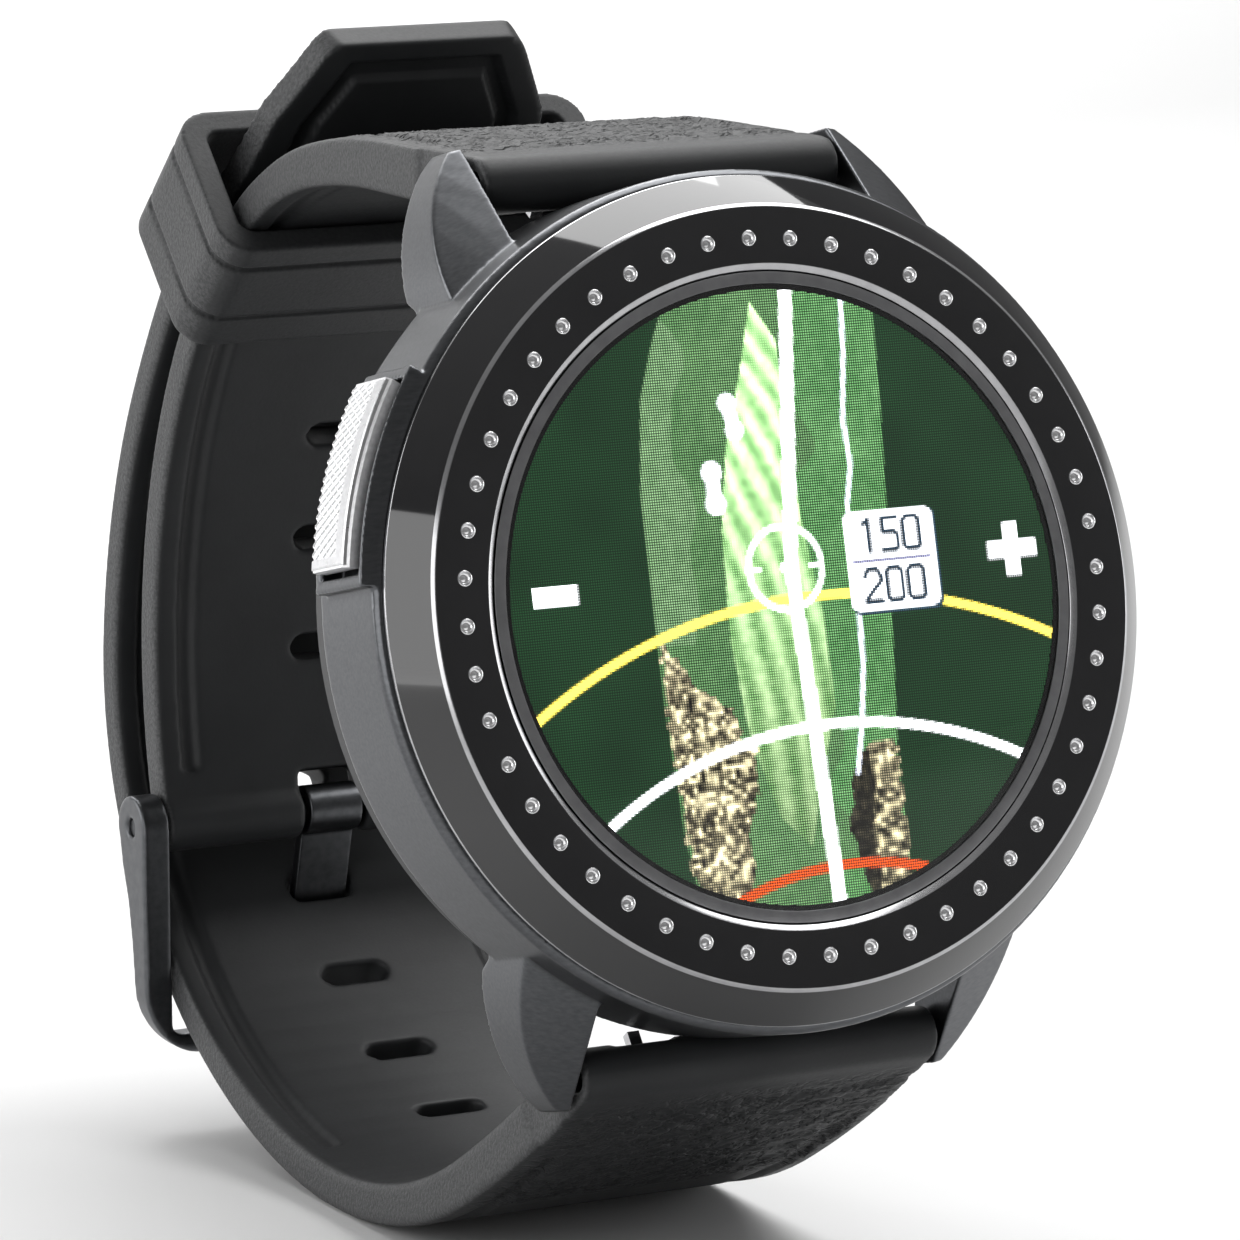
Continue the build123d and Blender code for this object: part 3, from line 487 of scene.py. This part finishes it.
def number_mask(x, y, text, left, base, height, pitch):
    size = height / 2
    mask = np.zeros(x.shape, bool)
    for i, digit in enumerate(text):
        for stroke in DIGITS[digit]:
            points = [(left + i * pitch + px * size * 1.12, base + py * size) for px, py in stroke]
            mask |= line_distance(x, y, points) < 0.115
    return mask


def course_picture(x, y):
    """Colour of the course map at dial position x, y in millimetres."""
    colour = np.zeros(x.shape + (3,))

    def fill(mask, tone):
        colour[mask] = tone if np.ndim(tone) == 1 else tone[mask]

    grain = soft_noise(x, y, 0.34, 3)
    patch = soft_noise(x, y, 2.6, 5)
    dark = np.array([0.009, 0.044, 0.015])
    colour[:] = dark
    colour += (patch[..., None] - 0.5) * np.array([0.004, 0.018, 0.006])

    # rough band of the hole
    rough = [(-4.4, 17.0), (-5.9, 13.7), (-6.9, 10.9), (-7.5, 6.0), (-7.5, -4.8), (-7.2, -11.5)]
    rough += [(-6.5, -17.0), (6.1, -17.0), (6.0, -9.0), (6.4, -4.5), (7.0, 3.5), (7.4, 10.0), (7.6, 17.0)]
    band = inside(x, y, rough)
    wear = 0.5 * grain + 0.5 * patch
    green = np.array([0.075, 0.200, 0.070]) + wear[..., None] * np.array([0.09, 0.14, 0.07])
    fill(band, green)
    east = band & (x > 2.2 + 0.9 * (patch - 0.5) * 4)
    fill(east, np.array([0.075, 0.25, 0.075]) + wear[..., None] * np.array([0.12, 0.20, 0.10]))
    west = band & (x < -4.9 + 2.0 * (patch - 0.5)) & (y > -2.0)
    fill(west, np.array([0.16, 0.31, 0.14]) + grain[..., None] * np.array([0.06, 0.08, 0.05]))

    # mown fairway with paler stripes
    mown = [(0.2, 15.6), (-0.9, 11.8), (-2.2, 8.0), (-3.0, 3.6), (-3.2, -2.0), (-2.7, -7.0), (-1.4, -11.5)]
    mown += [(0.3, -13.2), (1.4, -9.5), (2.6, -6.0), (2.5, -1.0), (1.8, 4.0), (1.6, 9.0), (1.5, 13.5)]
    fair = inside(x + 0.06 * (grain - 0.5), y, mown)
    stripe = 0.5 + 0.5 * np.sin((x + y * (0.30 + 0.012 * y)) * 4.2 + 1.2 * patch)
    light = (0.65 * stripe + 0.35 * grain)[..., None]
    pale = np.array([0.20, 0.47, 0.15]) + light * np.array([0.34, 0.32, 0.24])
    pale *= np.interp(y, [-13.0, -4.0, 8.0], [0.62, 0.85, 1.15])[..., None]
    fill(fair, pale)

    # bunkers: two pairs of merged discs
    for (bx, by), (cx, cy), r in (((-1.85, 10.35), (-1.55, 8.9), 0.55), ((-3.2, 6.8), (-3.15, 5.15), 0.62)):
        waist = segment_distance(x, y, (bx, by), (cx, cy)) < r * 0.72
        ends = (np.hypot(x - bx, y - by) < r) | (np.hypot(x - cx, y - cy) < r)
        fill(waist | ends, np.array([0.80, 0.82, 0.88]))

    # woods on both sides of the hole
    left_wood = [(-7.35, -1.6), (-5.3, -4.4), (-3.5, -5.6), (-3.2, -7.2), (-2.3, -7.8), (-2.6, -10.5)]
    left_wood += [(-3.4, -12.0), (-3.3, -14.2), (-4.4, -16.6), (-6.5, -16.6), (-7.1, -11.5), (-7.4, -6.0)]
    right_wood = [(3.3, -9.4), (4.3, -8.1), (6.0, -8.0), (6.05, -16.8), (3.4, -16.0), (2.7, -12.5)]
    leaf = soft_noise(x, y, 0.26, 11)
    crown = leaf[..., None] ** 1.6 * np.array([1.15, 1.02, 0.62]) * 0.85
    fill(inside(x + 0.5 * (grain - 0.5), y, left_wood), crown)
    right = inside(x + 0.4 * (grain - 0.5), y, right_wood)
    fill(right, crown * 0.9)
    fill(right & (x < 4.15 + 0.8 * (patch - 0.5)), crown * 0.08)

    # range arcs about the player's place
    from_player = np.hypot(x - 2.4, y + 31.8)
    arcs = (
        (31.7, 0.26, (0.92, 0.74, 0.10)),
        (24.9, 0.27, (0.95, 0.98, 1.0)),
        (17.5, 0.26, (0.95, 0.10, 0.01)),
    )
    path = line_distance(x, y, [(5.8, 17.0), (5.5, 12.7), (5.0, 9.0), (5.15, 6.6), (4.7, 4.6), (4.6, -3.6),
                                (4.1, -6.9), (3.5, -9.6)])
    fill(path < 0.14, np.array([0.75, 0.80, 0.95]))
    for radius, half, tone in arcs:
        fill(np.abs(from_player - radius) < half, np.array(tone))
    aim = line_distance(x, y, [(2.5, 17.0), (0.9, 1.5), (1.6, -17.0)])
    fill(aim < 0.40, np.array([0.97, 0.99, 1.0]))

    # target ring with two ticks and a centre dot
    ring = np.hypot(x - 0.55, y - 1.5)
    ticks = (np.abs(y - 1.5) < 0.14) & (ring > 1.45) & (ring < 2.2)
    fill((np.abs(ring - 2.2) < 0.16) | ticks | (ring < 0.3), np.array([0.93, 0.97, 0.97]))

    # range label with two round numbers
    box_x, box_y, half_x, half_y, corner = 7.0, 1.45, 2.72, 2.62, 0.45
    qx = np.maximum(np.abs(x - box_x) - half_x + corner, 0)
    qy = np.maximum(np.abs(y - box_y) - half_y + corner, 0)
    label = np.hypot(qx, qy) < corner
    shadow = np.hypot(np.maximum(np.abs(x - box_x - 0.12) - half_x + corner, 0),
                      np.maximum(np.abs(y - box_y + 0.12) - half_y + corner, 0)) < corner + 0.08
    fill(shadow & ~label, np.array([0.03, 0.07, 0.10]))
    fill(label, np.array([0.93, 0.96, 1.0]))
    fill(label & (np.abs(y - box_y) < 0.08) & (np.abs(x - box_x) < 2.4), np.array([0.30, 0.30, 0.48]))
    ink = np.array([0.020, 0.045, 0.075])
    fill(number_mask(x, y, "150", 5.25, box_y + 0.48, 1.70, 1.32), ink)
    fill(number_mask(x, y, "200", 5.25, box_y - 2.18, 1.70, 1.32), ink)

    # zoom marks
    white = np.array([0.95, 0.96, 1.0])
    fill((np.abs(x + 13.1) < 1.33) & (np.abs(y - 1.12) < 0.53), white)
    plus_x = np.abs(x - 14.4)
    plus_y = np.abs(y - 1.4)
    fill(((plus_x < 1.5) & (plus_y < 0.5)) | ((plus_x < 0.48) & (plus_y < 1.45)), white)
    return colour


def build_screen():
    """One quad for each lit pixel, coloured from the course picture, behind the glass."""
    side = int(2 * screen_r / pixel) + 1
    centres = (np.arange(side) - (side - 1) / 2) * pixel
    gx, gy = np.meshgrid(centres, centres)
    keep = np.hypot(gx, gy) < screen_r - pixel * 0.5
    px = gx[keep]
    py = gy[keep]
    tone = np.zeros((len(px), 3))
    shifts = (-pixel / 3, 0, pixel / 3)
    for dx in shifts:
        for dy in shifts:
            tone += course_picture(px + dx + picture_shift, py + dy) / 9
    h = pixel / 2
    corners = ((-h, -h), (h, -h), (h, h), (-h, h))
    level = np.full(len(px), screen_z)
    rings = [np.stack([px + cx, py + cy, level], 1)[:, None] for cx, cy in corners]
    verts = np.concatenate(rings, 1)
    verts = verts.reshape(-1, 3) * MM
    faces = np.arange(len(verts)).reshape(-1, 4)
    obj = mesh_from("screen_pixels", verts, faces.tolist(), DIAL)
    layer = obj.data.color_attributes.new("pixel", "FLOAT_COLOR", "CORNER")
    rgba = np.ones((len(px), 4))
    rgba[:, :3] = np.clip(tone, 0, 1)
    layer.data.foreach_set("color", np.repeat(rgba, 4, axis=0).astype(np.float32).ravel())
    cell = obj.data.uv_layers.new(name="cell")
    cell.data.foreach_set("uv", np.tile([0, 0, 1, 0, 1, 1, 0, 1], len(px)).astype(np.float32))
    paint(obj, screen_lit)
    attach(obj, "watch")

    mask = lathe("screen_mask", [(16.2, -0.28), (16.9, -0.28), (16.9, -0.31), (16.2, -0.31)])
    paint(mask, inner_black)
    shade(mask)
    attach(mask, "watch")

    top = screen_z - 0.04
    body = [(0.0, top), (17.05, top), (17.05, -1.75), (16.6, -1.75), (16.6, -2.9), (0.0, -2.9)]
    slab = lathe("screen_panel", rounded(body, 0.05), 192)
    paint(slab, inner_black)
    shade(slab)
    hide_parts("display_panel")
    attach(slab, "watch")


def build_lens():
    """Thin clear cover over the picture, with a seal round its edge."""
    body = [(0.0, -0.13), (16.40, -0.13), (16.48, -0.17), (16.48, -0.23), (0.0, -0.23)]
    lens = lathe("lens_cover", body)
    paint(lens, glass)
    shade(lens)
    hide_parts("lens")
    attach(lens, "watch")
    # the lip's lighter grey is partly a painted highlight for the bright line at the lens edge
    lip = lathe("lens_lip", rounded([(16.5, -0.13), (17.12, -0.16), (17.12, -0.26), (16.5, -0.26)], 0.02))
    paint(lip, lip_painted_highlight)
    shade(lip)
    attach(lip, "watch")
    seal = lathe("lens_seal", rounded([(17.09, -0.4), (17.19, -0.4), (17.19, -1.7), (17.09, -1.7)], 0.02))
    paint(seal, seal_rubber)
    shade(seal)
    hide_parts("lens_gasket")
    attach(seal, "watch")


# ================================================================ bezel
def build_bezel():
    profile = [
        (bezel_in_r, -1.8), (bezel_in_r, -0.22), (ring_in_r + 0.04, 0.0), (ring_out_r + 0.1, 0.0),
        (ring_out_r + 0.26, -0.13),
        (bezel_r, -2.0), (bezel_r, -2.25), (21.6, -2.25), (21.6, -3.2), (16.75, -3.2), (16.75, -1.8),
    ]
    ring = lathe("bezel_ring", rounded(profile, 0.05, 3), 288)
    holes = []
    for i in range(dimple_count):
        a = 2 * math.pi * i / dimple_count
        holes.append((dimple_pcd_r * math.sin(a), dimple_pcd_r * math.cos(a)))
    bm = bmesh.new()
    for hx, hy in holes:
        spot = DIAL @ Matrix.Translation((hx * MM, hy * MM, 0))
        bmesh.ops.create_cone(bm, cap_ends=True, segments=24, radius1=dimple_r * MM, radius2=dimple_r * MM,
                              depth=0.8 * MM, matrix=spot)
    cutter_mesh = bpy.data.meshes.new("cutter")
    bm.to_mesh(cutter_mesh)
    bm.free()
    cutter = new_object("cutter", cutter_mesh)
    cut = ring.modifiers.new("cut", "BOOLEAN")
    cut.operation = "DIFFERENCE"
    cut.solver = "EXACT"
    cut.object = cutter
    settle(ring)
    bpy.data.objects.remove(cutter)
    # the chamfers at the ring's inner and outer edges and at its foot get the lighter metal, a painted
    # highlight for the bright lines there
    ring.data.materials.clear()
    ring.data.materials.append(black_gloss)
    ring.data.materials.append(painted_edge_highlight)
    to_dial = DIAL.inverted()
    for face in ring.data.polygons:
        c = to_dial @ face.center
        r = math.hypot(c.x, c.y) / MM
        on_edge = ring_out_r + 0.08 < r < ring_out_r + 0.29 and c.z > -0.2 * MM
        on_wall = r < ring_in_r + 0.03 and c.z > -0.55 * MM
        on_foot = bezel_r - 0.12 < r and c.z < -1.85 * MM
        face.material_index = 1 if on_edge or on_wall or on_foot else 0
    shade(ring, 40)
    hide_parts("bezel")
    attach(ring, "watch")

    # a rimmed cup with a bead in each dimple
    cup = [(0.0, -0.16), (0.10, -0.15), (0.16, -0.19), (0.22, -0.20), (0.30, -0.15),
           (0.35, -0.05), (0.385, 0.015),
           (0.415, 0.0), (0.415, -0.35), (0.0, -0.35)]
    seeds = []
    for i, (hx, hy) in enumerate(holes):
        seeds.append(lathe(f"cup{i}", cup, 20, DIAL @ Matrix.Translation((hx * MM, hy * MM, 0))))
    whole = bmesh.new()
    for seed in seeds:
        whole.from_mesh(seed.data)
        bpy.data.objects.remove(seed)
    mesh = bpy.data.meshes.new("bezel_cups")
    whole.to_mesh(mesh)
    whole.free()
    cups = new_object("bezel_cups", mesh)
    paint(cups, bright)
    shade(cups, 60)
    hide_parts("bezel_pips")
    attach(cups, "watch")


# ================================================================ straps
def bend_path(start, heading, bends, step):
    """Centre line of a strap in the side plane: arrays of point, heading and distance."""
    x, y = start
    total = 0.0
    line = [(x, y, math.radians(heading), total)]
    for length, radius in bends:
        count = max(2, round(length / step))
        ds = length / count
        turn = 0.0 if radius == 0 else math.degrees(ds / radius)
        for _ in range(count):
            mid = math.radians(heading + turn / 2)
            x += ds * math.cos(mid)
            y -= ds * math.sin(mid)
            heading += turn
            total += ds
            line.append((x, y, math.radians(heading), total))
    return np.array(line)


def strap_coordinates(co, line):
    """Across, along and through the strap for each point, with the direction out of its upper skin."""
    rel = (co - np.array(dial_centre)) / MM
    near = np.empty(len(rel), int)
    for i in range(0, len(rel), 20000):
        part = rel[i:i + 20000]
        gap = (part[:, 1:2] - line[None, :, 0]) ** 2 + (part[:, 2:3] - line[None, :, 1]) ** 2
        near[i:i + 20000] = gap.argmin(1)
    h = line[near, 2]
    dy = rel[:, 1] - line[near, 0]
    dz = rel[:, 2] - line[near, 1]
    along = line[near, 3] + dy * np.cos(h) - dz * np.sin(h)
    through = dy * np.sin(h) + dz * np.cos(h)
    out = np.stack([np.zeros(len(h)), np.sin(h), np.cos(h)], 1)
    return rel[:, 0], along, through, out


def ease(value, low, high):
    t = np.clip((value - low) / (high - low), 0, 1)
    return t * t * (3 - 2 * t)


def channel(value, low, high, soft=0.3):
    """1 between low and high, easing to 0 on both sides."""
    return ease(value, low - soft, low) * (1 - ease(value, high, high + soft))


def creases(rel_x, along, scale, seed):
    """Irregular creases for moulded leather-like skin, 0 to 1."""
    out = np.empty(len(rel_x))
    for i, (u, v) in enumerate(zip(rel_x, along)):
        warp = noise.noise((u * 0.5, v * 0.5, seed))
        a = noise.noise((u * scale + warp, v * scale * 1.9 + warp, seed + 3.1))
        b = noise.noise((u * scale * 2.3, v * scale * 3.7, seed + 7.7))
        out[i] = 1 - min(1.0, abs(a) * 3.2) * 0.8 + 0.25 * b
    return out


def mark(obj, name, value):
    layer = obj.data.attributes.new(name, "FLOAT", "POINT")
    layer.data.foreach_set("value", value.astype(np.float32))


def mark_edges(obj, x, half, least=0.0):
    """Attribute that tells the rubber material where the sandy side faces are."""
    normal = np.empty(len(obj.data.vertices) * 3, np.float32)
    obj.data.vertices.foreach_get("normal", normal)
    side = ease(np.abs(normal.reshape(-1, 3)[:, 0]), 0.45, 0.8) * ease(np.abs(x), half - 1.6, half - 0.8)
    mark(obj, "edge", np.maximum(side, least))


def tail_half(along):
    return np.interp(along, [103.0, 116.0, 122.0], [11.0, 8.7, 5.6])


def build_strap(node, name, start, heading, bends, stages, outer, seed):
    strap = remesh(copy_of(node, name), 0.19, 5)
    line = bend_path(start, heading, bends, 0.25)
    co = points_of(strap)
    x, along, through, out = strap_coordinates(co, line)
    thick = np.interp(along, [d for d, _ in stages], [t for _, t in stages])
    face = ease(through * outer, thick * 0.5 - 0.35, thick * 0.5 - 0.12)
    last = 66.0 if outer > 0 else tail_end - 3.0
    inset = np.abs(x) if outer > 0 else strap_half - (tail_half(along) - np.abs(x))
    groove = channel(inset, 8.6, 9.5) * channel(along, 8.5, last, 1.2) * 0.32
    zone = face * channel(along, 3.4, 15.0, 3.0) * (1 - ease(np.abs(x), 9.6, 10.8))
    wrinkle = np.zeros(len(x))
    busy = np.nonzero(zone > 0.02)[0]
    wrinkle[busy] = creases(x[busy], along[busy], 0.9, seed) * 0.15
    step = face * channel(along, 2.3, 2.9, 0.25) * 0.10
    move = wrinkle * zone - groove * face - step
    if outer < 0:
        # groove round the panel on the wrist face of the tail
        inner = ease(-through * outer, thick * 0.5 - 0.35, thick * 0.5 - 0.12)
        rim = np.minimum(tail_half(along) - np.abs(x), tail_end + 0.6 - along)
        panel = channel(rim, 2.0, 2.9, 0.22) * ease(along, 104.0, 105.5)
        co += out * (-outer * inner * (-0.45) * panel)[:, None] * MM
    co += out * (outer * move)[:, None] * MM
    set_points(strap, co)
    mark_edges(strap, x, strap_half if outer > 0 else tail_half(along))
    mark(strap, "hide", zone)
    paint(strap, rubber)
    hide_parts(node)
    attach(strap, "watch")
    return strap


def build_keeper():
    keeper = remesh(copy_of("keeper", "keeper_loop"), 0.14, 4)
    x = (points_of(keeper)[:, 0] - dial_centre.x) / MM
    mark_edges(keeper, x, 12.95, 0.22)
    paint(keeper, rubber)
    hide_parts("keeper")
    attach(keeper, "keeper_loop")


# ================================================================ case, button, buckle
def build_case():
    case = remesh(copy_of("mid_case", "case_body"), 0.10, 9)
    paint(case, gunmetal)
    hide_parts("mid_case")
    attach(case, "watch")


def build_knurl():
    """Staggered pits over the push pad, with a plain border towards the bezel and at the lower end."""
    rows = 220
    columns = 84
    across = 0.86              # spacing of the pits over the pad and round it
    round_pitch = 0.50
    plain_top = 0.95
    plain_end = 0.5
    edge = 0.12
    angle = math.radians(push_angle)
    half = math.radians(push_span / 2) - edge / push_r
    top = push_top - edge
    bottom = push_bottom + edge
    width = top - bottom
    verts = []
    pit_shades = []
    for layer in (0, 1):
        for i in range(rows + 1):
            a = angle - half + 2 * half * i / rows
            arc = (a - angle) * push_r
            for k in range(columns + 1):
                z = bottom + width * k / columns
                u = (z - bottom) / across
                v = arc / round_pitch
                da = abs(u + v - round(u + v))
                db = abs(u - v - round(u - v))
                ridge = min(1.0, max(da, db) * 2.25)
                margin = min((top - plain_top - z) / 0.1, (half * push_r - plain_end - arc) / 0.1)
                open_part = max(0.0, min(1.0, margin))
                deep = (1 - ridge * ridge) * open_part
                rim = min(1.0, min(k, columns - k, i, rows - i) / 2.0)
                r = push_r + 0.05 * rim - 0.20 * deep if layer == 0 else push_r - 0.3
                verts.append((-r * math.sin(a) * MM, r * math.cos(a) * MM, z * MM))
                pit_shades.append(deep if layer == 0 else 0.0)
    n = columns + 1
    shell = (rows + 1) * n
    faces = []
    for i in range(rows):
        for k in range(columns):
            q = (i * n + k, i * n + k + 1, (i + 1) * n + k + 1, (i + 1) * n + k)
            faces.append(q)
            faces.append(tuple(shell + j for j in reversed(q)))
    rim_loop = [k for k in range(n)] + [i * n + columns for i in range(1, rows + 1)]
    rim_loop += [rows * n + k for k in range(columns - 1, -1, -1)] + [i * n for i in range(rows - 1, 0, -1)]
    for a, b in zip(rim_loop, rim_loop[1:] + rim_loop[:1]):
        faces.append((b, a, shell + a, shell + b))
    knurl = mesh_from("button_knurl", verts, faces, DIAL)
    # the pit depth goes to the material, which paints shade into the pits
    mark(knurl, "pit_shade", np.array(pit_shades))
    paint(knurl, knurl_silver)
    shade(knurl, 30)
    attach(knurl, "push")


def build_buckle():
    frame_piece = remesh(copy_of("buckle_frame", "buckle_body"), 0.12, 8)
    paint(frame_piece, dark_satin)
    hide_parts("buckle_frame")
    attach(frame_piece, "buckle")
    tang = remesh(copy_of("tang", "tang_body"), 0.08, 4)
    paint(tang, dark_satin)
    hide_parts("tang")
    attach(tang, "tang_pin")


build_screen()
build_lens()
build_bezel()
build_strap("short_strap", "strap_short", upper_bar, short_start, short_bends, short_stages, 1, 2.0)
build_strap("long_strap", "strap_long", lower_bar, long_start, long_bends, long_stages, -1, 9.0)
build_keeper()
build_case()
build_knurl()
build_buckle()

finishes = {
    "display_frame": inner_plastic, "display_flex": amber,
    "case_back": back_plastic, "back_gasket": seal_rubber, "back_screws": steel, "charge_contacts": gold,
    "chassis": inner_plastic, "main_board": board_green, "board_parts": chip_black, "gps_patch": ceramic,
    "battery": foil, "vibration_motor": steel, "push_switch": chip_black, "side_button": silver,
    "button_clip": steel, "button_seal": seal_rubber, "button_spring": steel, "lug_bars": steel,
    "upper_release": steel, "lower_release": steel, "buckle_bar": dark_satin,
}
for node, mat in finishes.items():
    paint(nodes[node], mat)
    shade(nodes[node], 30)


# ================================================================ studio
def area_light(name, place, target, size, power, size_y=None):
    lamp = bpy.data.lights.new(name, "AREA")
    lamp.shape = "RECTANGLE"
    lamp.size = size
    lamp.size_y = size_y or size
    lamp.energy = power
    obj = new_object(name, lamp)
    obj.location = place
    obj.rotation_mode = "QUATERNION"
    obj.rotation_quaternion = (Vector(target) - Vector(place)).to_track_quat("-Z", "Y")
    return obj


def build_world():
    """Surroundings brightest overhead towards the back right, darkest below the front left."""
    bright_towards = (0.40, 0.45, 0.80)
    strength = {"From Min": -0.1, "From Max": 0.95, "To Min": 0.19, "To Max": 0.38}
    world = bpy.data.worlds.new("studio")
    bpy.context.scene.world = world
    world.use_nodes = True
    tree = world.node_tree
    coord = add(tree, "ShaderNodeTexCoord")
    lean = add(tree, "ShaderNodeVectorMath", {1: bright_towards}, operation="DOT_PRODUCT")
    tree.links.new(coord.outputs["Generated"], lean.inputs[0])
    level = add(tree, "ShaderNodeMapRange", strength)
    tree.links.new(lean.outputs["Value"], level.inputs["Value"])
    tree.links.new(level.outputs["Result"], tree.nodes["Background"].inputs["Strength"])
    tree.nodes["Background"].inputs["Color"].default_value = (1, 1, 1, 1)


def build_sweep():
    """Pale floor that curves up into a backdrop."""
    front, depth, radius, top, half_width = -2.5, 1.2, 0.9, 3.5, 4.0
    steps = 24
    floor_z = rest_low.z
    verts = []
    rows = []
    for i in range(steps + 1):
        t = i / steps
        if t < 0.5:
            rows.append((front + t * 2 * (depth - front), 0.0))
        else:
            a = (t - 0.5) * math.pi
            rows.append((depth + radius * math.sin(a), radius * (1 - math.cos(a))))
    rows.append((depth + radius, top))
    for y, z in rows:
        verts.append((-half_width, y, floor_z + z))
        verts.append((half_width, y, floor_z + z))
    faces = [(2 * i, 2 * i + 1, 2 * i + 3, 2 * i + 2) for i in range(len(rows) - 1)]
    sweep = mesh_from("studio_sweep", verts, faces)
    mat, tree, bsdf = start_material("studio_pale")
    cloud = object_noise(tree, 3.0, detail=1.0)
    tree.links.new(ramp(tree, cloud, (0.62, 0.62, 0.62), (0.64, 0.64, 0.64)), bsdf.inputs["Base Color"])
    bsdf.inputs["Roughness"].default_value = 0.8
    paint(sweep, mat)
    sweep.data.shade_smooth()


def build_lights():
    """Six soft lamps: three at the sides, one above, one on the floor behind, one on the backdrop."""
    aim = dial_centre
    floor_behind = aim + Vector((0.1, 0.75, -0.04))
    backdrop = aim + Vector((-0.5, 2.1, 0.3))
    area_light("top_box", aim + Vector((0.22, 0.15, 0.54)), aim, 0.72, 4.6, 0.42)
    area_light("left_panel", aim + Vector((-0.534, -0.258, 0.13)), aim, 0.42, 1.15, 0.38)
    area_light("left_back", aim + Vector((-0.62, 0.38, 0.20)), aim, 0.5, 2.5)
    area_light("right_panel", aim + Vector((0.69, -0.06, 0.06)), aim, 0.32, 0.9, 0.3)
    area_light("floor_box", aim + Vector((0.15, 0.95, 0.75)), floor_behind, 0.9, 9.0)
    area_light("wall_box", aim + Vector((-0.2, 0.75, 0.85)), backdrop, 1.0, 26.0)


def build_camera():
    """Camera in front of the dial, to its left and a little above it."""
    azimuth = math.radians(28.105)
    elevation = math.radians(10.394)
    distance, shift_right, shift_up = 0.3590, 0.00888, 0.00127
    forward = Vector((math.sin(azimuth) * math.cos(elevation), math.cos(azimuth) * math.cos(elevation),
                      -math.sin(elevation)))
    right = forward.cross(Vector((0, 0, 1))).normalized()
    up = right.cross(forward)
    data = bpy.data.cameras.new("camera")
    data.lens = 199.04
    data.sensor_width = 36.0
    data.clip_start = 0.01
    data.clip_end = 20.0
    cam = new_object("camera", data)
    cam.location = dial_centre - forward * distance - right * shift_right - up * shift_up
    cam.rotation_mode = "QUATERNION"
    cam.rotation_quaternion = forward.to_track_quat("-Z", "Y")
    bpy.context.scene.camera = cam


build_world()
build_sweep()
build_lights()
build_camera()
bpy.context.scene.view_settings.view_transform = "Standard"
